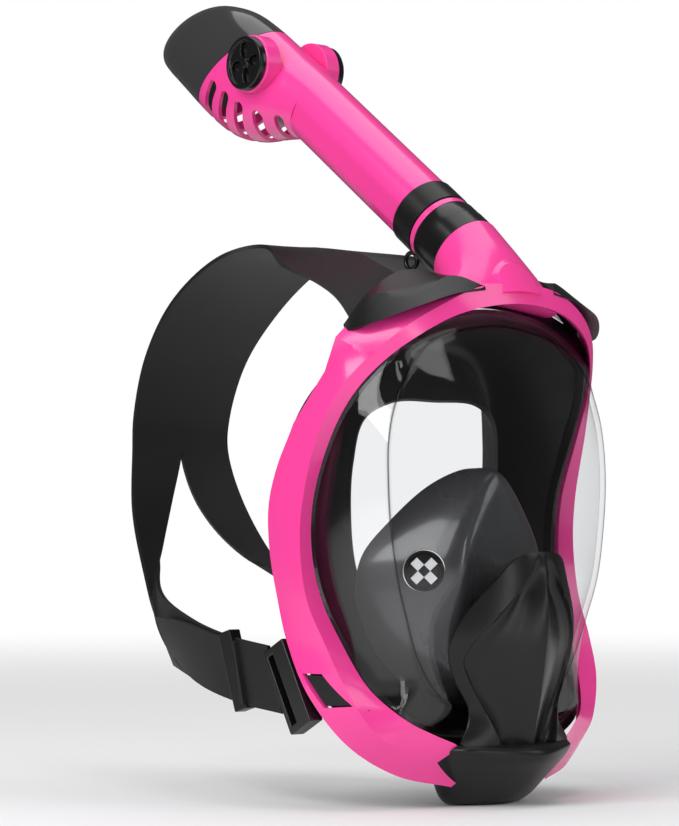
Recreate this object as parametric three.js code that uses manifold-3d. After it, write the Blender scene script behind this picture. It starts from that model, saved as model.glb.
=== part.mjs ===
// Full face snorkel mask: a clear visor in a moulded frame, a soft face skirt, an inner breathing
// cup, a chin drain, a twist-lock snorkel with a dry top, and a four-armed head strap.
// Millimetres. +Z is up, the wearer looks along -Y, and the wearer's right side is -X.
// The origin is the middle of the plane where the face meets the skirt.
import * as THREE from "three";
import { mergeVertices } from "three/addons/utils/BufferGeometryUtils.js";
import { ConvexGeometry } from "three/addons/geometries/ConvexGeometry.js";
import Module from "manifold-3d";

const wasm = await Module();
wasm.setup();

// ---- driving dimensions -------------------------------------------------------------------
const GAP = 0.4; // clearance between neighbouring pieces
const RING_STEPS = 40; // points round a closed outline
const FRAME_STEPS = 44; // sections along the open frame
const FRAME_WALL = 3.2;
const LENS_WALL = 2.2;
const RIM_FRONT = -72; // the visor's rim never comes further forward than this
const SKIRT_WALL = 2.4;
const SEAL_DEPTH = 14; // how far the skirt's seal reaches behind the origin

const JOINT = new THREE.Vector3(0, -21, 163.7); // top of the twist lock, on the tube's axis
const TUBE_TILT = THREE.MathUtils.degToRad(53); // lean of the tube from vertical, backwards
const TUBE_RADIUS = 18.7;
const TUBE_WALL = 2.2;
const TUBE_LENGTH = 104;
const HEAD_START = TUBE_LENGTH + GAP;
const HEAD_WALL = 2.2;
const SPLIT_PLACE = 166.5; // where the cage ends and the dome starts, on the tube's axis
const SPLIT_LEAN = 0.346;
const DISC_RADIUS = 15;
const DISC_PLACE = 143; // along the tube from the joint
const SLOT_WIDTH = 7.4;
// Each slot's place along the tube, its start below the axis and its tilt.
const SLOTS = [
  [113, 10.5, -0.22], [127.5, 16.5, -0.2], [141.5, 19.5, -0.1], [154, 20.5, 0.05], [166, 21, 0.2],
];

const COLLAR_RADIUS = 19.6;
const SPIGOT_RADIUS = 15.6;
const BORE_RADIUS = 13;
const COLLAR_BORE = 17.6;
const RING_BORE = 17.4; // lets the spigot's seal pass
const LOCK_TOP = -15.2;
const LOCK_BOTTOM = -19.2;
const SOCKET_TOP = -40;

const PINK = 0xf0379a;
const BLACK = 0x1c1c1e;
const SMOKE = 0x4b4b50;

// Half outlines of the frame from the top centre down the wearer's left side. Each row is one
// station and holds half width, y and z for the visor edge (lip), the ridge and the rear edge.
const STATIONS = [
  [0, -95.5, 110.5, 0, -93, 121, 0, -48, 127],
  [25, -94, 108, 28, -92, 118, 30, -50, 124],
  [44, -89.5, 102.5, 50, -88, 108.5, 56, -53, 117],
  [60, -83, 93.5, 68, -79, 96.5, 78, -56, 105],
  [73, -73, 82, 80.5, -68, 83, 90.5, -52, 92],
  [83.6, -61, 66, 90, -57, 68, 89, -42, 75],
  [88.6, -49, 46, 96.5, -47, 46.5, 96, -26, 49],
  [90.3, -35.5, 13, 99, -37, 12, 98, -10, 12],
  [90, -33, -12, 99.5, -35, -12, 97.5, -9, -13],
  [87.5, -37, -38, 98.8, -39.5, -40, 97.5, -15.5, -40],
  [83, -47.5, -61, 96, -50, -62, 98.3, -24, -62],
  [76, -61.5, -85, 91, -60, -84, 98.2, -40, -88],
  [62.8, -74.7, -100.6, 79, -68, -106, 82, -56, -108],
  [40, -85, -112, 50, -76, -122, 34, -73, -133],
];
const LIP_BOTTOM = [0, -90, -116];
const WINDOW = [
  [0, -77, 100], [33, -77.5, 95.5], [51, -78, 88.5], [64.5, -78.5, 75], [74.5, -78, 56],
  [78.3, -78, 39], [79, -78.5, 20], [77.5, -78.5, -2], [72.5, -78.5, -30], [65.5, -77.5, -50],
  [57, -76.5, -70], [44, -77.5, -88], [24, -80, -99], [0, -82, -103],
];
const WINDOW_CENTRE = new THREE.Vector2(0, 5);
const OPENING = [
  [0, -30, 62], [30, -29, 61], [46, -25, 52], [51, -22, 30], [51, -20, 5], [49, -22, -25],
  [46, -30, -55], [36, -42, -82], [18, -50, -96], [0, -52, -100],
];
const SEAL = [
  [0, -12, 100], [34, -10, 96], [60, 0, 78], [74, 10, 50], [78, SEAL_DEPTH, 15],
  [78, SEAL_DEPTH, -20], [72, 4, -55], [56, -18, -88], [30, -34, -110], [0, -40, -117],
];
const CUP_EDGE = [
  [0, -56, 27], [16, -54, 18], [34, -48, 2], [52, -38, -18], [56, -34, -40], [50, -38, -66],
  [34, -46, -86], [16, -52, -94], [0, -53, -97],
];

const root = new THREE.Group();
root.name = "full_face_snorkel";
const snorkel = new THREE.Group();
snorkel.position.copy(JOINT);
snorkel.rotation.x = -TUBE_TILT;
root.add(snorkel);

// ---- helpers ------------------------------------------------------------------------------
function addPiece(name, geometry, colour, { parent = root, roughness = 0.4, opacity = 1 } = {}) {
  const material = new THREE.MeshStandardMaterial({ color: colour, roughness, metalness: 0 });
  material.opacity = opacity;
  material.transparent = opacity < 1;
  const mesh = new THREE.Mesh(geometry, material);
  mesh.name = name;
  parent.add(mesh);
  return mesh;
}

function toSolid(geometry) {
  const bare = geometry.index ? geometry.toNonIndexed() : geometry.clone();
  bare.deleteAttribute("normal");
  bare.deleteAttribute("uv");
  const merged = mergeVertices(bare, 1e-3);
  const vertProperties = new Float32Array(merged.attributes.position.array);
  const triVerts = new Uint32Array(merged.index.array);
  const made = new wasm.Manifold(new wasm.Mesh({ numProp: 3, vertProperties, triVerts }));
  if (made.volume() >= 0) return made;
  for (let i = 0; i < triVerts.length; i += 3)
    [triVerts[i + 1], triVerts[i + 2]] = [triVerts[i + 2], triVerts[i + 1]];
  return new wasm.Manifold(new wasm.Mesh({ numProp: 3, vertProperties, triVerts }));
}

function fromSolid(made) {
  const mesh = made.getMesh();
  const geometry = new THREE.BufferGeometry();
  geometry.setAttribute("position", new THREE.BufferAttribute(mesh.vertProperties, 3));
  geometry.setIndex(new THREE.BufferAttribute(mesh.triVerts, 1));
  return geometry;
}

// The full closed loop through a half outline and its mirror image.
function closedLoop(half, count = RING_STEPS) {
  const right = half.map(([w, y, z]) => new THREE.Vector3(w, y, z));
  const left = right.slice(1, -1).reverse().map((p) => new THREE.Vector3(-p.x, p.y, p.z));
  const curve = new THREE.CatmullRomCurve3([...right, ...left], true, "centripetal");
  return Array.from({ length: count }, (_, i) => curve.getPointAt(i / count));
}

// Points along an open mirrored outline, evenly spread over its stations.
function openLoop(half, count = FRAME_STEPS) {
  const right = half.map(([w, y, z]) => new THREE.Vector3(w, y, z));
  const left = right.slice(1).reverse().map((p) => new THREE.Vector3(-p.x, p.y, p.z));
  const curve = new THREE.CatmullRomCurve3([...left, ...right], false, "centripetal");
  return Array.from({ length: count + 1 }, (_, i) => curve.getPoint(i / count));
}

// A closed surface through loops of equal length, joined end to end or capped at both ends.
function skinLoops(loops, joined = false) {
  const count = loops[0].length;
  const points = loops.flat().map((p) => p.clone());
  const index = [];
  const spans = joined ? loops.length : loops.length - 1;
  for (let a = 0; a < spans; a++)
    for (let i = 0; i < count; i++) {
      const b = (a + 1) % loops.length;
      const j = (i + 1) % count;
      const [p, q, r, s] = [a * count + i, a * count + j, b * count + j, b * count + i];
      index.push(p, q, r, p, r, s);
    }
  if (!joined)
    [0, loops.length - 1].forEach((a, end) => {
      const middle = points.length;
      const sum = loops[a].reduce((t, p) => t.add(p), new THREE.Vector3());
      points.push(sum.divideScalar(count));
      for (let i = 0; i < count; i++) {
        const edge = [a * count + i, a * count + ((i + 1) % count)];
        index.push(middle, ...(end ? edge : edge.reverse()));
      }
    });
  const geometry = new THREE.BufferGeometry().setFromPoints(points);
  geometry.setIndex(index);
  return fromSolid(toSolid(geometry));
}

// What is left of a piece after its neighbours, each grown by the gap, are taken out of it.
function clearOf(base, ...neighbours) {
  const steps = [[0, 0, 0]];
  for (const x of [-1, 0, 1])
    for (const y of [-1, 0, 1])
      for (const z of [-1, 1]) steps.push([x, y, z]);
  let made = toSolid(base);
  for (const neighbour of neighbours)
    for (const [x, y, z] of steps)
      made = made.subtract(toSolid(neighbour.clone().translate(x * GAP, y * GAP, z * GAP)));
  return fromSolid(largest(toSolid(fromSolid(largest(made)))));
}

function largest(made) {
  return made.decompose().sort((a, b) => b.volume() - a.volume())[0];
}

function blend(loopA, loopB, t) {
  return loopA.map((p, i) => p.clone().lerp(loopB[i], t));
}

function shrink(loop, distance) {
  const middle = loop.reduce((t, p) => t.add(p), new THREE.Vector3()).divideScalar(loop.length);
  return loop.map((p) => {
    const inward = new THREE.Vector3(middle.x - p.x, 0, middle.z - p.z).setLength(distance);
    return p.clone().add(inward);
  });
}

function shift(loop, dy, dz = 0) {
  return loop.map((p) => new THREE.Vector3(p.x, p.y + dy, p.z + dz));
}

function lathe(profile, segments = 24) {
  const points = [...profile, profile[0]].map(([r, s]) => new THREE.Vector2(r, s));
  return new THREE.LatheGeometry(points, segments).rotateX(Math.PI / 2);
}

function block(x, y, z, place) {
  return new THREE.BoxGeometry(x, y, z).translate(...place);
}

function cut(base, ...tools) {
  return fromSolid(tools.reduce((made, tool) => made.subtract(toSolid(tool)), toSolid(base)));
}

function join(...pieces) {
  return fromSolid(pieces.slice(1).reduce((made, p) => made.add(toSolid(p)), toSolid(pieces[0])));
}

// A piece drawn on the wearer's left, or its mirror image on the right.
function onSide(geometry, side) {
  const mirror = new THREE.Matrix4().makeScale(side, 1, 1);
  return fromSolid(toSolid(geometry.clone().applyMatrix4(mirror)));
}

function bothSides(name, make) {
  [["R", -1], ["L", 1]].forEach(([letter, side]) => make(`${name}_${letter}`, side));
}

const lipHalf = [...STATIONS.map((row) => row.slice(0, 3)), LIP_BOTTOM];
const ridgeHalf = STATIONS.map((row) => row.slice(3, 6));
const rearHalf = STATIONS.map((row) => row.slice(6, 9));

// ---- mask ---------------------------------------------------------------------------------
// The frame is a bent strip with a ridge along its outside; it stops either side of the chin.
function makeFrame() {
  const lip = openLoop(STATIONS.map((row) => row.slice(0, 3)));
  const ridge = openLoop(ridgeHalf);
  const rear = openLoop(rearHalf);
  const sections = lip.map((edge, i) => {
    const depth = rear[i].clone().sub(ridge[i]).normalize();
    const inward = edge.clone().sub(ridge[i]);
    inward.addScaledVector(depth, -inward.dot(depth)).setLength(FRAME_WALL);
    const back = rear[i].clone().add(inward);
    const under = ridge[i].clone().add(inward).addScaledVector(depth, FRAME_WALL);
    const seat = edge.clone().addScaledVector(depth, FRAME_WALL);
    return [edge, ridge[i], rear[i], back, under, seat];
  });
  return skinLoops(sections);
}

function windowLoop(fraction, outline) {
  return outline.map((p) => {
    const x = WINDOW_CENTRE.x + fraction * (p.x - WINDOW_CENTRE.x);
    const z = WINDOW_CENTRE.y + fraction * (p.z - WINDOW_CENTRE.y);
    const nose = Math.exp(-((x / 34) ** 2) - ((z + 40) / 40) ** 2);
    const bulge = 5 * (1 - fraction ** 2) + 6 * nose * (1 - fraction ** 4);
    return new THREE.Vector3(x, p.y - bulge, z);
  });
}

// The visor's rim follows the frame's lip but stays behind the brow and the chin.
function visorRim() {
  const rim = shift(shrink(closedLoop(lipHalf), 1.0), 1.2);
  return rim.map((p) => new THREE.Vector3(p.x, Math.max(p.y, RIM_FRONT), p.z));
}

// The visor: a proud front window, side walls back to the frame, and a hollow inside.
function makeVisor() {
  const edge = visorRim();
  const crease = closedLoop(WINDOW);
  const fractions = [0.12, 0.35, 0.6, 0.82];
  const front = fractions.map((f) => windowLoop(f, crease));
  const inside = shrink(crease, LENS_WALL);
  const back = fractions.map((f) => shift(windowLoop(f * 0.97, crease), LENS_WALL));
  return skinLoops([
    ...front, crease, blend(crease, edge, 0.5), edge, shrink(edge, LENS_WALL),
    shrink(blend(crease, edge, 0.5), LENS_WALL), shift(inside, LENS_WALL), ...back.reverse(),
  ]);
}

// A ring behind the visor's rim that clamps the skirt's bead.
function makeRetainer() {
  const outer = shift(shrink(visorRim(), 0.5), 0.6);
  const inner = shrink(outer, 2.6);
  return skinLoops([outer, inner, shift(inner, 6), shift(outer, 6)], true);
}

// The skirt: from the retainer back to the face, then curled in to the opening for the face.
function makeSkirt() {
  const start = shift(shrink(visorRim(), 0.8), 7.4);
  const seal = closedLoop(SEAL);
  const opening = closedLoop(OPENING);
  const mid = shift(blend(start, seal, 0.5), 2);
  const turn = shift(blend(seal, opening, 0.3), 3);
  const inner = [
    shift(shrink(turn, -0.6), -SKIRT_WALL), shift(shrink(seal, SKIRT_WALL * 1.3), -SKIRT_WALL),
    shrink(mid, SKIRT_WALL), shrink(start, SKIRT_WALL),
  ];
  return skinLoops([
    start, mid, seal, turn, opening, shift(shrink(opening, -1.5), -SKIRT_WALL), ...inner,
  ], true);
}

// The breathing cup over nose and mouth, a bowl with its edge against the face.
function makeCup() {
  const edge = closedLoop(CUP_EDGE, 32);
  const level = (t, wall) => edge.map((p) => {
    const x = p.x * (1 - t * t * 0.9);
    const z = -38 + (p.z + 38) * (1 - t ** 2.4 * 0.9);
    const front = -66 - 8 * Math.cos(Math.min(Math.abs(z + 45) / 60, 1) * Math.PI / 2);
    return new THREE.Vector3(x, THREE.MathUtils.lerp(p.y, front, Math.sin((t * Math.PI) / 2)) + wall, z);
  });
  const steps = [0, 0.25, 0.5, 0.75, 0.95];
  const outer = steps.map((t) => level(t, 0));
  const inner = steps.map((t) => shift(shrink(level(t, 0), t > 0.9 ? 0.5 : 1.8), t > 0.2 ? 2.2 : 0.4));
  return skinLoops([...outer.reverse(), ...inner]);
}

const frame = makeFrame();
const visor = makeVisor();

// ---- breathing valves ---------------------------------------------------------------------
// Each valve faces forwards and outwards from the cup's side, on its own turned group.
const VALVE = { x: 37, y: -60, z: -26, turn: 46, tip: 6, radius: 10.5 };

function valveGroup(side) {
  const group = new THREE.Group();
  group.position.set(side * VALVE.x, VALVE.y, VALVE.z);
  group.rotation.order = "ZXY";
  group.rotation.z = side * THREE.MathUtils.degToRad(VALVE.turn);
  group.rotation.x = THREE.MathUtils.degToRad(90 - VALVE.tip);
  root.add(group);
  group.updateMatrixWorld(true);
  return group;
}

// A round grille: a plate with four straight slots, which lets air in over the flap behind it.
function makeValveGrille() {
  const plate = new THREE.CylinderGeometry(VALVE.radius, VALVE.radius, 2.4, 20).rotateX(Math.PI / 2);
  const slots = [0, 1, 2, 3].map((i) =>
    block(3.4, 5.2, 6, [0, 5.6, 0]).rotateZ((i * Math.PI) / 2 + Math.PI / 4));
  return cut(plate, ...slots);
}

const valveGroups = [-1, 1].map(valveGroup);
const cupHoles = valveGroups.map((group) =>
  new THREE.CylinderGeometry(VALVE.radius + GAP, VALVE.radius + GAP, 40, 20)
    .rotateX(Math.PI / 2).applyMatrix4(group.matrixWorld));
const cup = cut(makeCup(), ...cupHoles);

// ---- chin ---------------------------------------------------------------------------------
const COVER = [
  [0, -108, -16], [15, -106.5, -18.5], [26, -100, -31], [39, -91.5, -48], [44, -87, -60],
  [43.5, -84.5, -70], [39, -84, -82], [32, -85, -95], [33, -88, -104], [38, -88, -111],
  [18, -96, -113], [0, -98, -113.5],
];

// The chin cover stands in front of the visor and is hollowed to the visor's own shape.
function makeChinCover() {
  const outline = closedLoop(COVER, 32);
  const inset = (f, crown) => outline.map((p) =>
    new THREE.Vector3(p.x * f, p.y - crown, -66 + (p.z + 66) * f));
  const shape = skinLoops([inset(0.3, 6), inset(0.75, 3), outline, shift(outline, 30)]);
  const edge = shrink(visorRim(), -0.5);
  const crease = closedLoop(WINDOW);
  const plug = skinLoops([
    windowLoop(0.12, crease), windowLoop(0.35, crease), windowLoop(0.6, crease),
    windowLoop(0.82, crease), crease, edge, shift(edge, 60),
  ]);
  return clearOf(shape, plug, frame);
}

// The drain block under the chin; water leaves through the slots in its floor.
function makeChinBlock() {
  const level = (z, w, front, corner, back) => {
    const half = [
      [0, front, z], [w * 0.6, front * 0.62 + corner * 0.38, z], [w, corner, z],
      [w * 0.92, (corner + back) / 2, z], [w * 0.6, back, z], [0, back, z],
    ];
    return closedLoop(half, 20);
  };
  const shape = skinLoops([
    level(-116, 33, -101, -88, -64), level(-122, 31, -99, -86, -58), level(-132, 28, -93, -80, -55),
    level(-140, 24, -86, -74, -55), level(-145, 16, -79, -70, -58),
  ]);
  const well = new THREE.CylinderGeometry(12, 12, 22, 20).rotateX(Math.PI / 2).translate(0, -72, -127);
  const slots = [-12, -4, 4, 12].map((x) => block(4, 13, 30, [x * 0.8, -70, -138]));
  return cut(shape, well, ...slots);
}

const chinBlock = makeChinBlock();
const chinFlap = new THREE.CylinderGeometry(10.5, 10.5, 1.4, 20).rotateX(Math.PI / 2)
  .translate(0, -72, -134);

// ---- snorkel ------------------------------------------------------------------------------
// These are drawn along their own +Z, the tube's axis, from the top of the twist lock.
function makeTube() {
  const outline = new THREE.Shape();
  outline.absarc(0, 0, TUBE_RADIUS, 0, Math.PI * 2);
  const bore = new THREE.Path().absarc(0, 0, TUBE_RADIUS - TUBE_WALL, 0, Math.PI * 2, true);
  outline.holes.push(bore);
  return new THREE.ExtrudeGeometry(outline, {
    depth: TUBE_LENGTH - GAP, bevelEnabled: false, curveSegments: 14, steps: 1,
  }).translate(0, 0, GAP);
}

function headLoop(s, width, height, drop) {
  return Array.from({ length: 24 }, (_, i) => {
    const a = (i / 24) * Math.PI * 2;
    return new THREE.Vector3(width * Math.cos(a), drop + height * Math.sin(a), s);
  });
}

// Sections of the head, as place, half width, half height and drop below the tube's axis: it
// widens from the tube and ends in a dome whose tip hangs low.
const HEAD = [
  [HEAD_START, TUBE_RADIUS, TUBE_RADIUS, 0], [118, 20.5, 23, 4.5], [134, 23, 28.5, 10.5],
  [150, 24, 32, 14], [168, 24, 33, 15.5], [186, 23.5, 32, 16.5], [200, 22.3, 29.5, 18.5],
  [212, 20, 26.3, 21.5], [223, 16.3, 21.3, 26.5], [232, 11, 14.5, 32.5], [238, 4, 5, 37],
];

function makeHeadShell() {
  const outer = skinLoops(HEAD.map(([s, w, h, d]) => headLoop(s, w, h, d)));
  const inside = HEAD.map(([s, w, h, d], i) => {
    const last = i === HEAD.length - 1;
    return headLoop(i ? s - (last ? HEAD_WALL : 0) : s - 1, Math.max(w - HEAD_WALL, 1),
      Math.max(h - HEAD_WALL, 1), d);
  });
  return cut(outer, skinLoops(inside));
}

// The slanted cut between the pink cage and the smoky dome.
function splitTool(offset, upper) {
  const tool = block(80, 160, 140, [0, 0, upper ? 70 : -70]).rotateX(SPLIT_LEAN);
  return tool.translate(0, 0, SPLIT_PLACE + offset);
}

function makeVentHead(shell) {
  const slots = SLOTS.map(([s, start, tilt]) =>
    block(56, 50, SLOT_WIDTH, [0, 25, 0]).rotateX(tilt).translate(0, start, s));
  const bosses = [-1, 1].map((side) =>
    new THREE.CylinderGeometry(16, 16, 9, 20).rotateZ(Math.PI / 2)
      .translate(side * 22.2, -4, DISC_PLACE));
  const bore = skinLoops(HEAD.map(([s, w, h, d], i) =>
    headLoop(i ? s : s - 1, w - HEAD_WALL, h - HEAD_WALL, d)).slice(0, 5));
  const cage = cut(shell, splitTool(-GAP / 2, true), ...slots);
  return cut(join(cage, ...bosses), bore, splitTool(-GAP / 2, true));
}

function makeSideDisc(side) {
  const disc = new THREE.CylinderGeometry(DISC_RADIUS, DISC_RADIUS, 4, 24).rotateZ(Math.PI / 2);
  const pockets = [0, 1, 2, 3].map((i) =>
    block(2.4, 6, 5, [side * 1.6, 0, 8]).rotateX((i * Math.PI) / 2 + Math.PI / 4));
  return cut(disc, ...pockets).translate(side * (26.7 + GAP + 2), -4, DISC_PLACE);
}

const headShell = makeHeadShell();
const FLOAT_START = 124;
const makeFloat = () => cut(
  skinLoops([
    headLoop(FLOAT_START, 12, 12, 9), headLoop(FLOAT_START + 5, 16, 17, 9),
    headLoop(FLOAT_START + 20, 16, 17, 9), headLoop(FLOAT_START + 24, 11, 12, 9),
  ]),
  new THREE.CylinderGeometry(3.2, 3.2, 60, 16).rotateX(Math.PI / 2).translate(0, 9, FLOAT_START + 10),
);
const makeFloatGuide = () => join(
  new THREE.CylinderGeometry(15.6, 15.6, 3, 24).rotateX(Math.PI / 2).translate(0, 0, 109),
  block(4, 4, 14, [0, 9, 115]),
  new THREE.CylinderGeometry(2.4, 2.4, 56, 14).rotateX(Math.PI / 2).translate(0, 9, 137),
);

// The pink socket that carries the twist lock down into the top of the frame.
function makeSocket() {
  const count = 24;
  const axis = new THREE.Vector3(0, Math.sin(TUBE_TILT), Math.cos(TUBE_TILT));
  const under = new THREE.Vector3(0, Math.cos(TUBE_TILT), -Math.sin(TUBE_TILT));
  const ring = (s, r) => Array.from({ length: count }, (_, i) => {
    const a = (i / count) * Math.PI * 2;
    return JOINT.clone().addScaledVector(axis, s).addScaledVector(under, -r * Math.sin(a))
      .add(new THREE.Vector3(r * Math.cos(a), 0, 0));
  });
  const foot = (w, d) => Array.from({ length: count }, (_, i) => {
    const a = (i / count) * Math.PI * 2;
    const x = w * Math.cos(a);
    return new THREE.Vector3(x, -70 - d * Math.sin(a), 117.5 - 0.0052 * x * x);
  });
  const column = (top, base) => skinLoops([
    top, blend(shift(top, -9, -7), base, 0.3), blend(shift(top, -9, -4), base, 0.68), base,
  ]);
  const body = column(ring(SOCKET_TOP - GAP, 20.4), foot(44, 25));
  const airway = column(ring(SOCKET_TOP + 2, 14), foot(20, 12).map((p) => p.setZ(95)));
  return clearOf(cut(body, airway), frame);
}

// ---- straps and fittings ------------------------------------------------------------------
// A flat band: each row is a centre point and the half-width vector across the band.
function makeBand(rows, thickness = 2.2, steps = 14) {
  const centre = new THREE.CatmullRomCurve3(rows.map((r) => new THREE.Vector3(r[0], r[1], r[2])));
  const across = new THREE.CatmullRomCurve3(rows.map((r) => new THREE.Vector3(r[3], r[4], r[5])));
  const sections = Array.from({ length: steps + 1 }, (_, i) => {
    const t = i / steps;
    const half = across.getPoint(t);
    const lift = centre.getTangent(t).cross(half).setLength(thickness / 2);
    const middle = centre.getPoint(t);
    return [[1, 1], [-1, 1], [-1, -1], [1, -1]].map(([a, b]) =>
      middle.clone().addScaledVector(half, a).addScaledVector(lift, b));
  });
  return skinLoops(sections);
}

const BACK_BAND = [
  [0, 74, 150, 30, 0, 0], [0, 100, 146, 38, 0, 0], [0, 140, 124, 40, 0, 0], [0, 169, 93, 37, 0, 0],
  [0, 182, 60, 35, 0, 0], [0, 183, 40, 35, 0, 0],
];
const UPPER_ARM = [
  [14.5, 72.5, 149.6, 14, 0, 0.5], [20, 50, 144, 13, 5, -1], [36, 10, 131, 10, 8, -4],
  [53, -22, 118.5, 8, 9, -6], [63, -38, 110.5, 7, 10, -6],
];
const LOWER_ARM = [
  [18.5, 183, 38, 17, 0, 0], [26, 177, 8, 16, -3, -2], [40, 158, -24, 12, -8, -7],
  [62, 124, -50, 6, -8, -12], [82, 72, -68, 2, -4, -16], [94, 22, -77, 0, -4, -17],
  [97, -14, -81, 0, -6, -17],
];

function makeUpperClip() {
  const corners = [
    [78, -50, 95], [76, -60, 96], [68, -42, 113], [62, -56, 117], [47, -50, 128], [42, -62, 127],
    [30, -80, 122], [27, -90, 119], [40, -92, 112], [60, -82, 104], [30, -70, 118],
  ];
  return new ConvexGeometry(corners.map(([x, y, z]) => new THREE.Vector3(x, y, z)));
}

const BUCKLE = { x: 95.5, y: -25, z: -84, tilt: -0.5 };
const placeBuckle = (geometry) =>
  geometry.rotateX(BUCKLE.tilt).translate(BUCKLE.x, BUCKLE.y, BUCKLE.z);
const makeBuckle = () => cut(
  placeBuckle(block(9, 17, 46, [0, 0, 0])), placeBuckle(block(20, 4.2, 38, [0, 3.6, 0])),
);

const WINDOW_CORNERS = [[-36, -77], [-48, -77], [-62, -93], [-48, -94]];
function windowPrism(side, inset, near, far) {
  const middle = [-48.5, -85.25];
  const shape = new THREE.Shape(WINDOW_CORNERS.map(([y, z]) =>
    new THREE.Vector2(middle[0] + (y - middle[0]) * inset, middle[1] + (z - middle[1]) * inset)));
  const prism = new THREE.ExtrudeGeometry(shape, { depth: far - near, bevelEnabled: false });
  const place = new THREE.Matrix4().set(0, 0, 1, near, 1, 0, 0, 0, 0, 1, 0, 0, 0, 0, 0, 1);
  return onSide(prism.applyMatrix4(place), side);
}

const frameCut = cut(frame, windowPrism(1, 1, 80, 110), windowPrism(-1, 1, 80, 110));

const KEEPER = { x: 94.2, y: 20, z: -77.6, tilt: -0.3, toe: -0.09 };
const makeKeeper = () => block(8, 9, 42, [0, 0, 0]).rotateX(KEEPER.tilt).rotateZ(KEEPER.toe)
  .translate(KEEPER.x, KEEPER.y, KEEPER.z);

// ---- assembly -----------------------------------------------------------------------------
addPiece("frame_shell", frameCut, PINK, { roughness: 0.3 });
addPiece("visor_lens", visor, 0xdfe6ea, { roughness: 0.05, opacity: 0.3 });
addPiece("skirt_retainer", makeRetainer(), BLACK);
addPiece("face_skirt", makeSkirt(), 0x26262a, { roughness: 0.6 });
addPiece("breathing_cup", cup, 0x303034);
valveGroups.forEach((group, i) => {
  const letter = "RL"[i];
  const flap = new THREE.CylinderGeometry(8.6, 8.6, 1, 20).rotateX(Math.PI / 2).translate(0, 0, -2.4);
  addPiece(`cup_valve_grille_${letter}`, makeValveGrille(), BLACK, { parent: group });
  addPiece(`cup_valve_flap_${letter}`, flap, SMOKE, { parent: group, roughness: 0.6 });
});
addPiece("chin_cover", makeChinCover(), BLACK);
addPiece("chin_drain_block", chinBlock, BLACK);
addPiece("chin_drain_flap", chinFlap, SMOKE, { roughness: 0.6 });
const socket = makeSocket();
addPiece("snorkel_socket", socket, PINK, { roughness: 0.3 });

const twist = { parent: snorkel };
const collarWall = [[COLLAR_BORE, SOCKET_TOP], [20, SOCKET_TOP], [20, LOCK_BOTTOM - 2.4]];
addPiece("socket_collar", lathe([
  ...collarWall, [19.2, LOCK_BOTTOM - GAP], [COLLAR_BORE, LOCK_BOTTOM - GAP],
]), BLACK, twist);
addPiece("lock_ring", lathe([
  [RING_BORE, LOCK_BOTTOM], [19, LOCK_BOTTOM], [19, LOCK_TOP - GAP], [RING_BORE, LOCK_TOP - GAP],
]), PINK, twist);
addPiece("tube_collar", lathe([
  [BORE_RADIUS, -34], [SPIGOT_RADIUS, -34], [SPIGOT_RADIUS, LOCK_TOP], [COLLAR_RADIUS, LOCK_TOP],
  [COLLAR_RADIUS, 0], [BORE_RADIUS, 0],
]), BLACK, twist);
addPiece("spigot_seal", new THREE.TorusGeometry(16.55, 0.6, 6, 24).translate(0, 0, -28), SMOKE, twist);
addPiece("tether_loop", new THREE.TorusGeometry(4.4, 1.3, 6, 14).rotateY(Math.PI / 2)
  .translate(0, COLLAR_RADIUS + 6.3, -8), BLACK, twist);
addPiece("snorkel_tube", makeTube(), PINK, { ...twist, roughness: 0.3 });
addPiece("tube_divider", block(1.6, 2 * (TUBE_RADIUS - TUBE_WALL) - 1.4, 96, [0, 0, 50]), SMOKE, twist);
addPiece("float_guide", makeFloatGuide(), SMOKE, twist);
addPiece("dry_top_float", makeFloat(), 0xe8e4da, twist);
addPiece("vent_head", makeVentHead(headShell), PINK, { ...twist, roughness: 0.3 });
addPiece("cap_dome", cut(headShell, splitTool(GAP / 2, false)), SMOKE, { ...twist, opacity: 0.6 });
bothSides("vent_disc", (name, side) => addPiece(name, makeSideDisc(side), BLACK, twist));

addPiece("strap_back", makeBand(BACK_BAND), BLACK, { roughness: 0.7 });
const upperArm = makeBand(UPPER_ARM);
const lowerArm = makeBand(LOWER_ARM);
const lowerBuckle = clearOf(makeBuckle(), frameCut, lowerArm);
const keeper = clearOf(makeKeeper(), lowerArm);
const strapLook = { roughness: 0.7 };
bothSides("strap_upper_arm", (name, side) =>
  addPiece(name, onSide(upperArm, side), BLACK, strapLook));
bothSides("strap_lower_arm", (name, side) =>
  addPiece(name, onSide(lowerArm, side), BLACK, strapLook));
bothSides("upper_clip", (name, side) => addPiece(name, clearOf(
  onSide(makeUpperClip(), side), frameCut, onSide(upperArm, side), socket,
), BLACK));
bothSides("lower_buckle", (name, side) => addPiece(name, onSide(lowerBuckle, side), BLACK));
bothSides("release_button", (name, side) =>
  addPiece(name, windowPrism(side, 0.86, 92, 98 - GAP), BLACK));
bothSides("strap_keeper", (name, side) => addPiece(name, onSide(keeper, side), BLACK));

export default root;
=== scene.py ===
"""Full face snorkel mask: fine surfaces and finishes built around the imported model.

Sizes in the classes are millimetres and become metres once, where a mesh is made. +Z is up, the
wearer looks along -Y, and the wearer's right side is -X.
"""
import logging
import math
from dataclasses import dataclass, field
from enum import Enum

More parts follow.
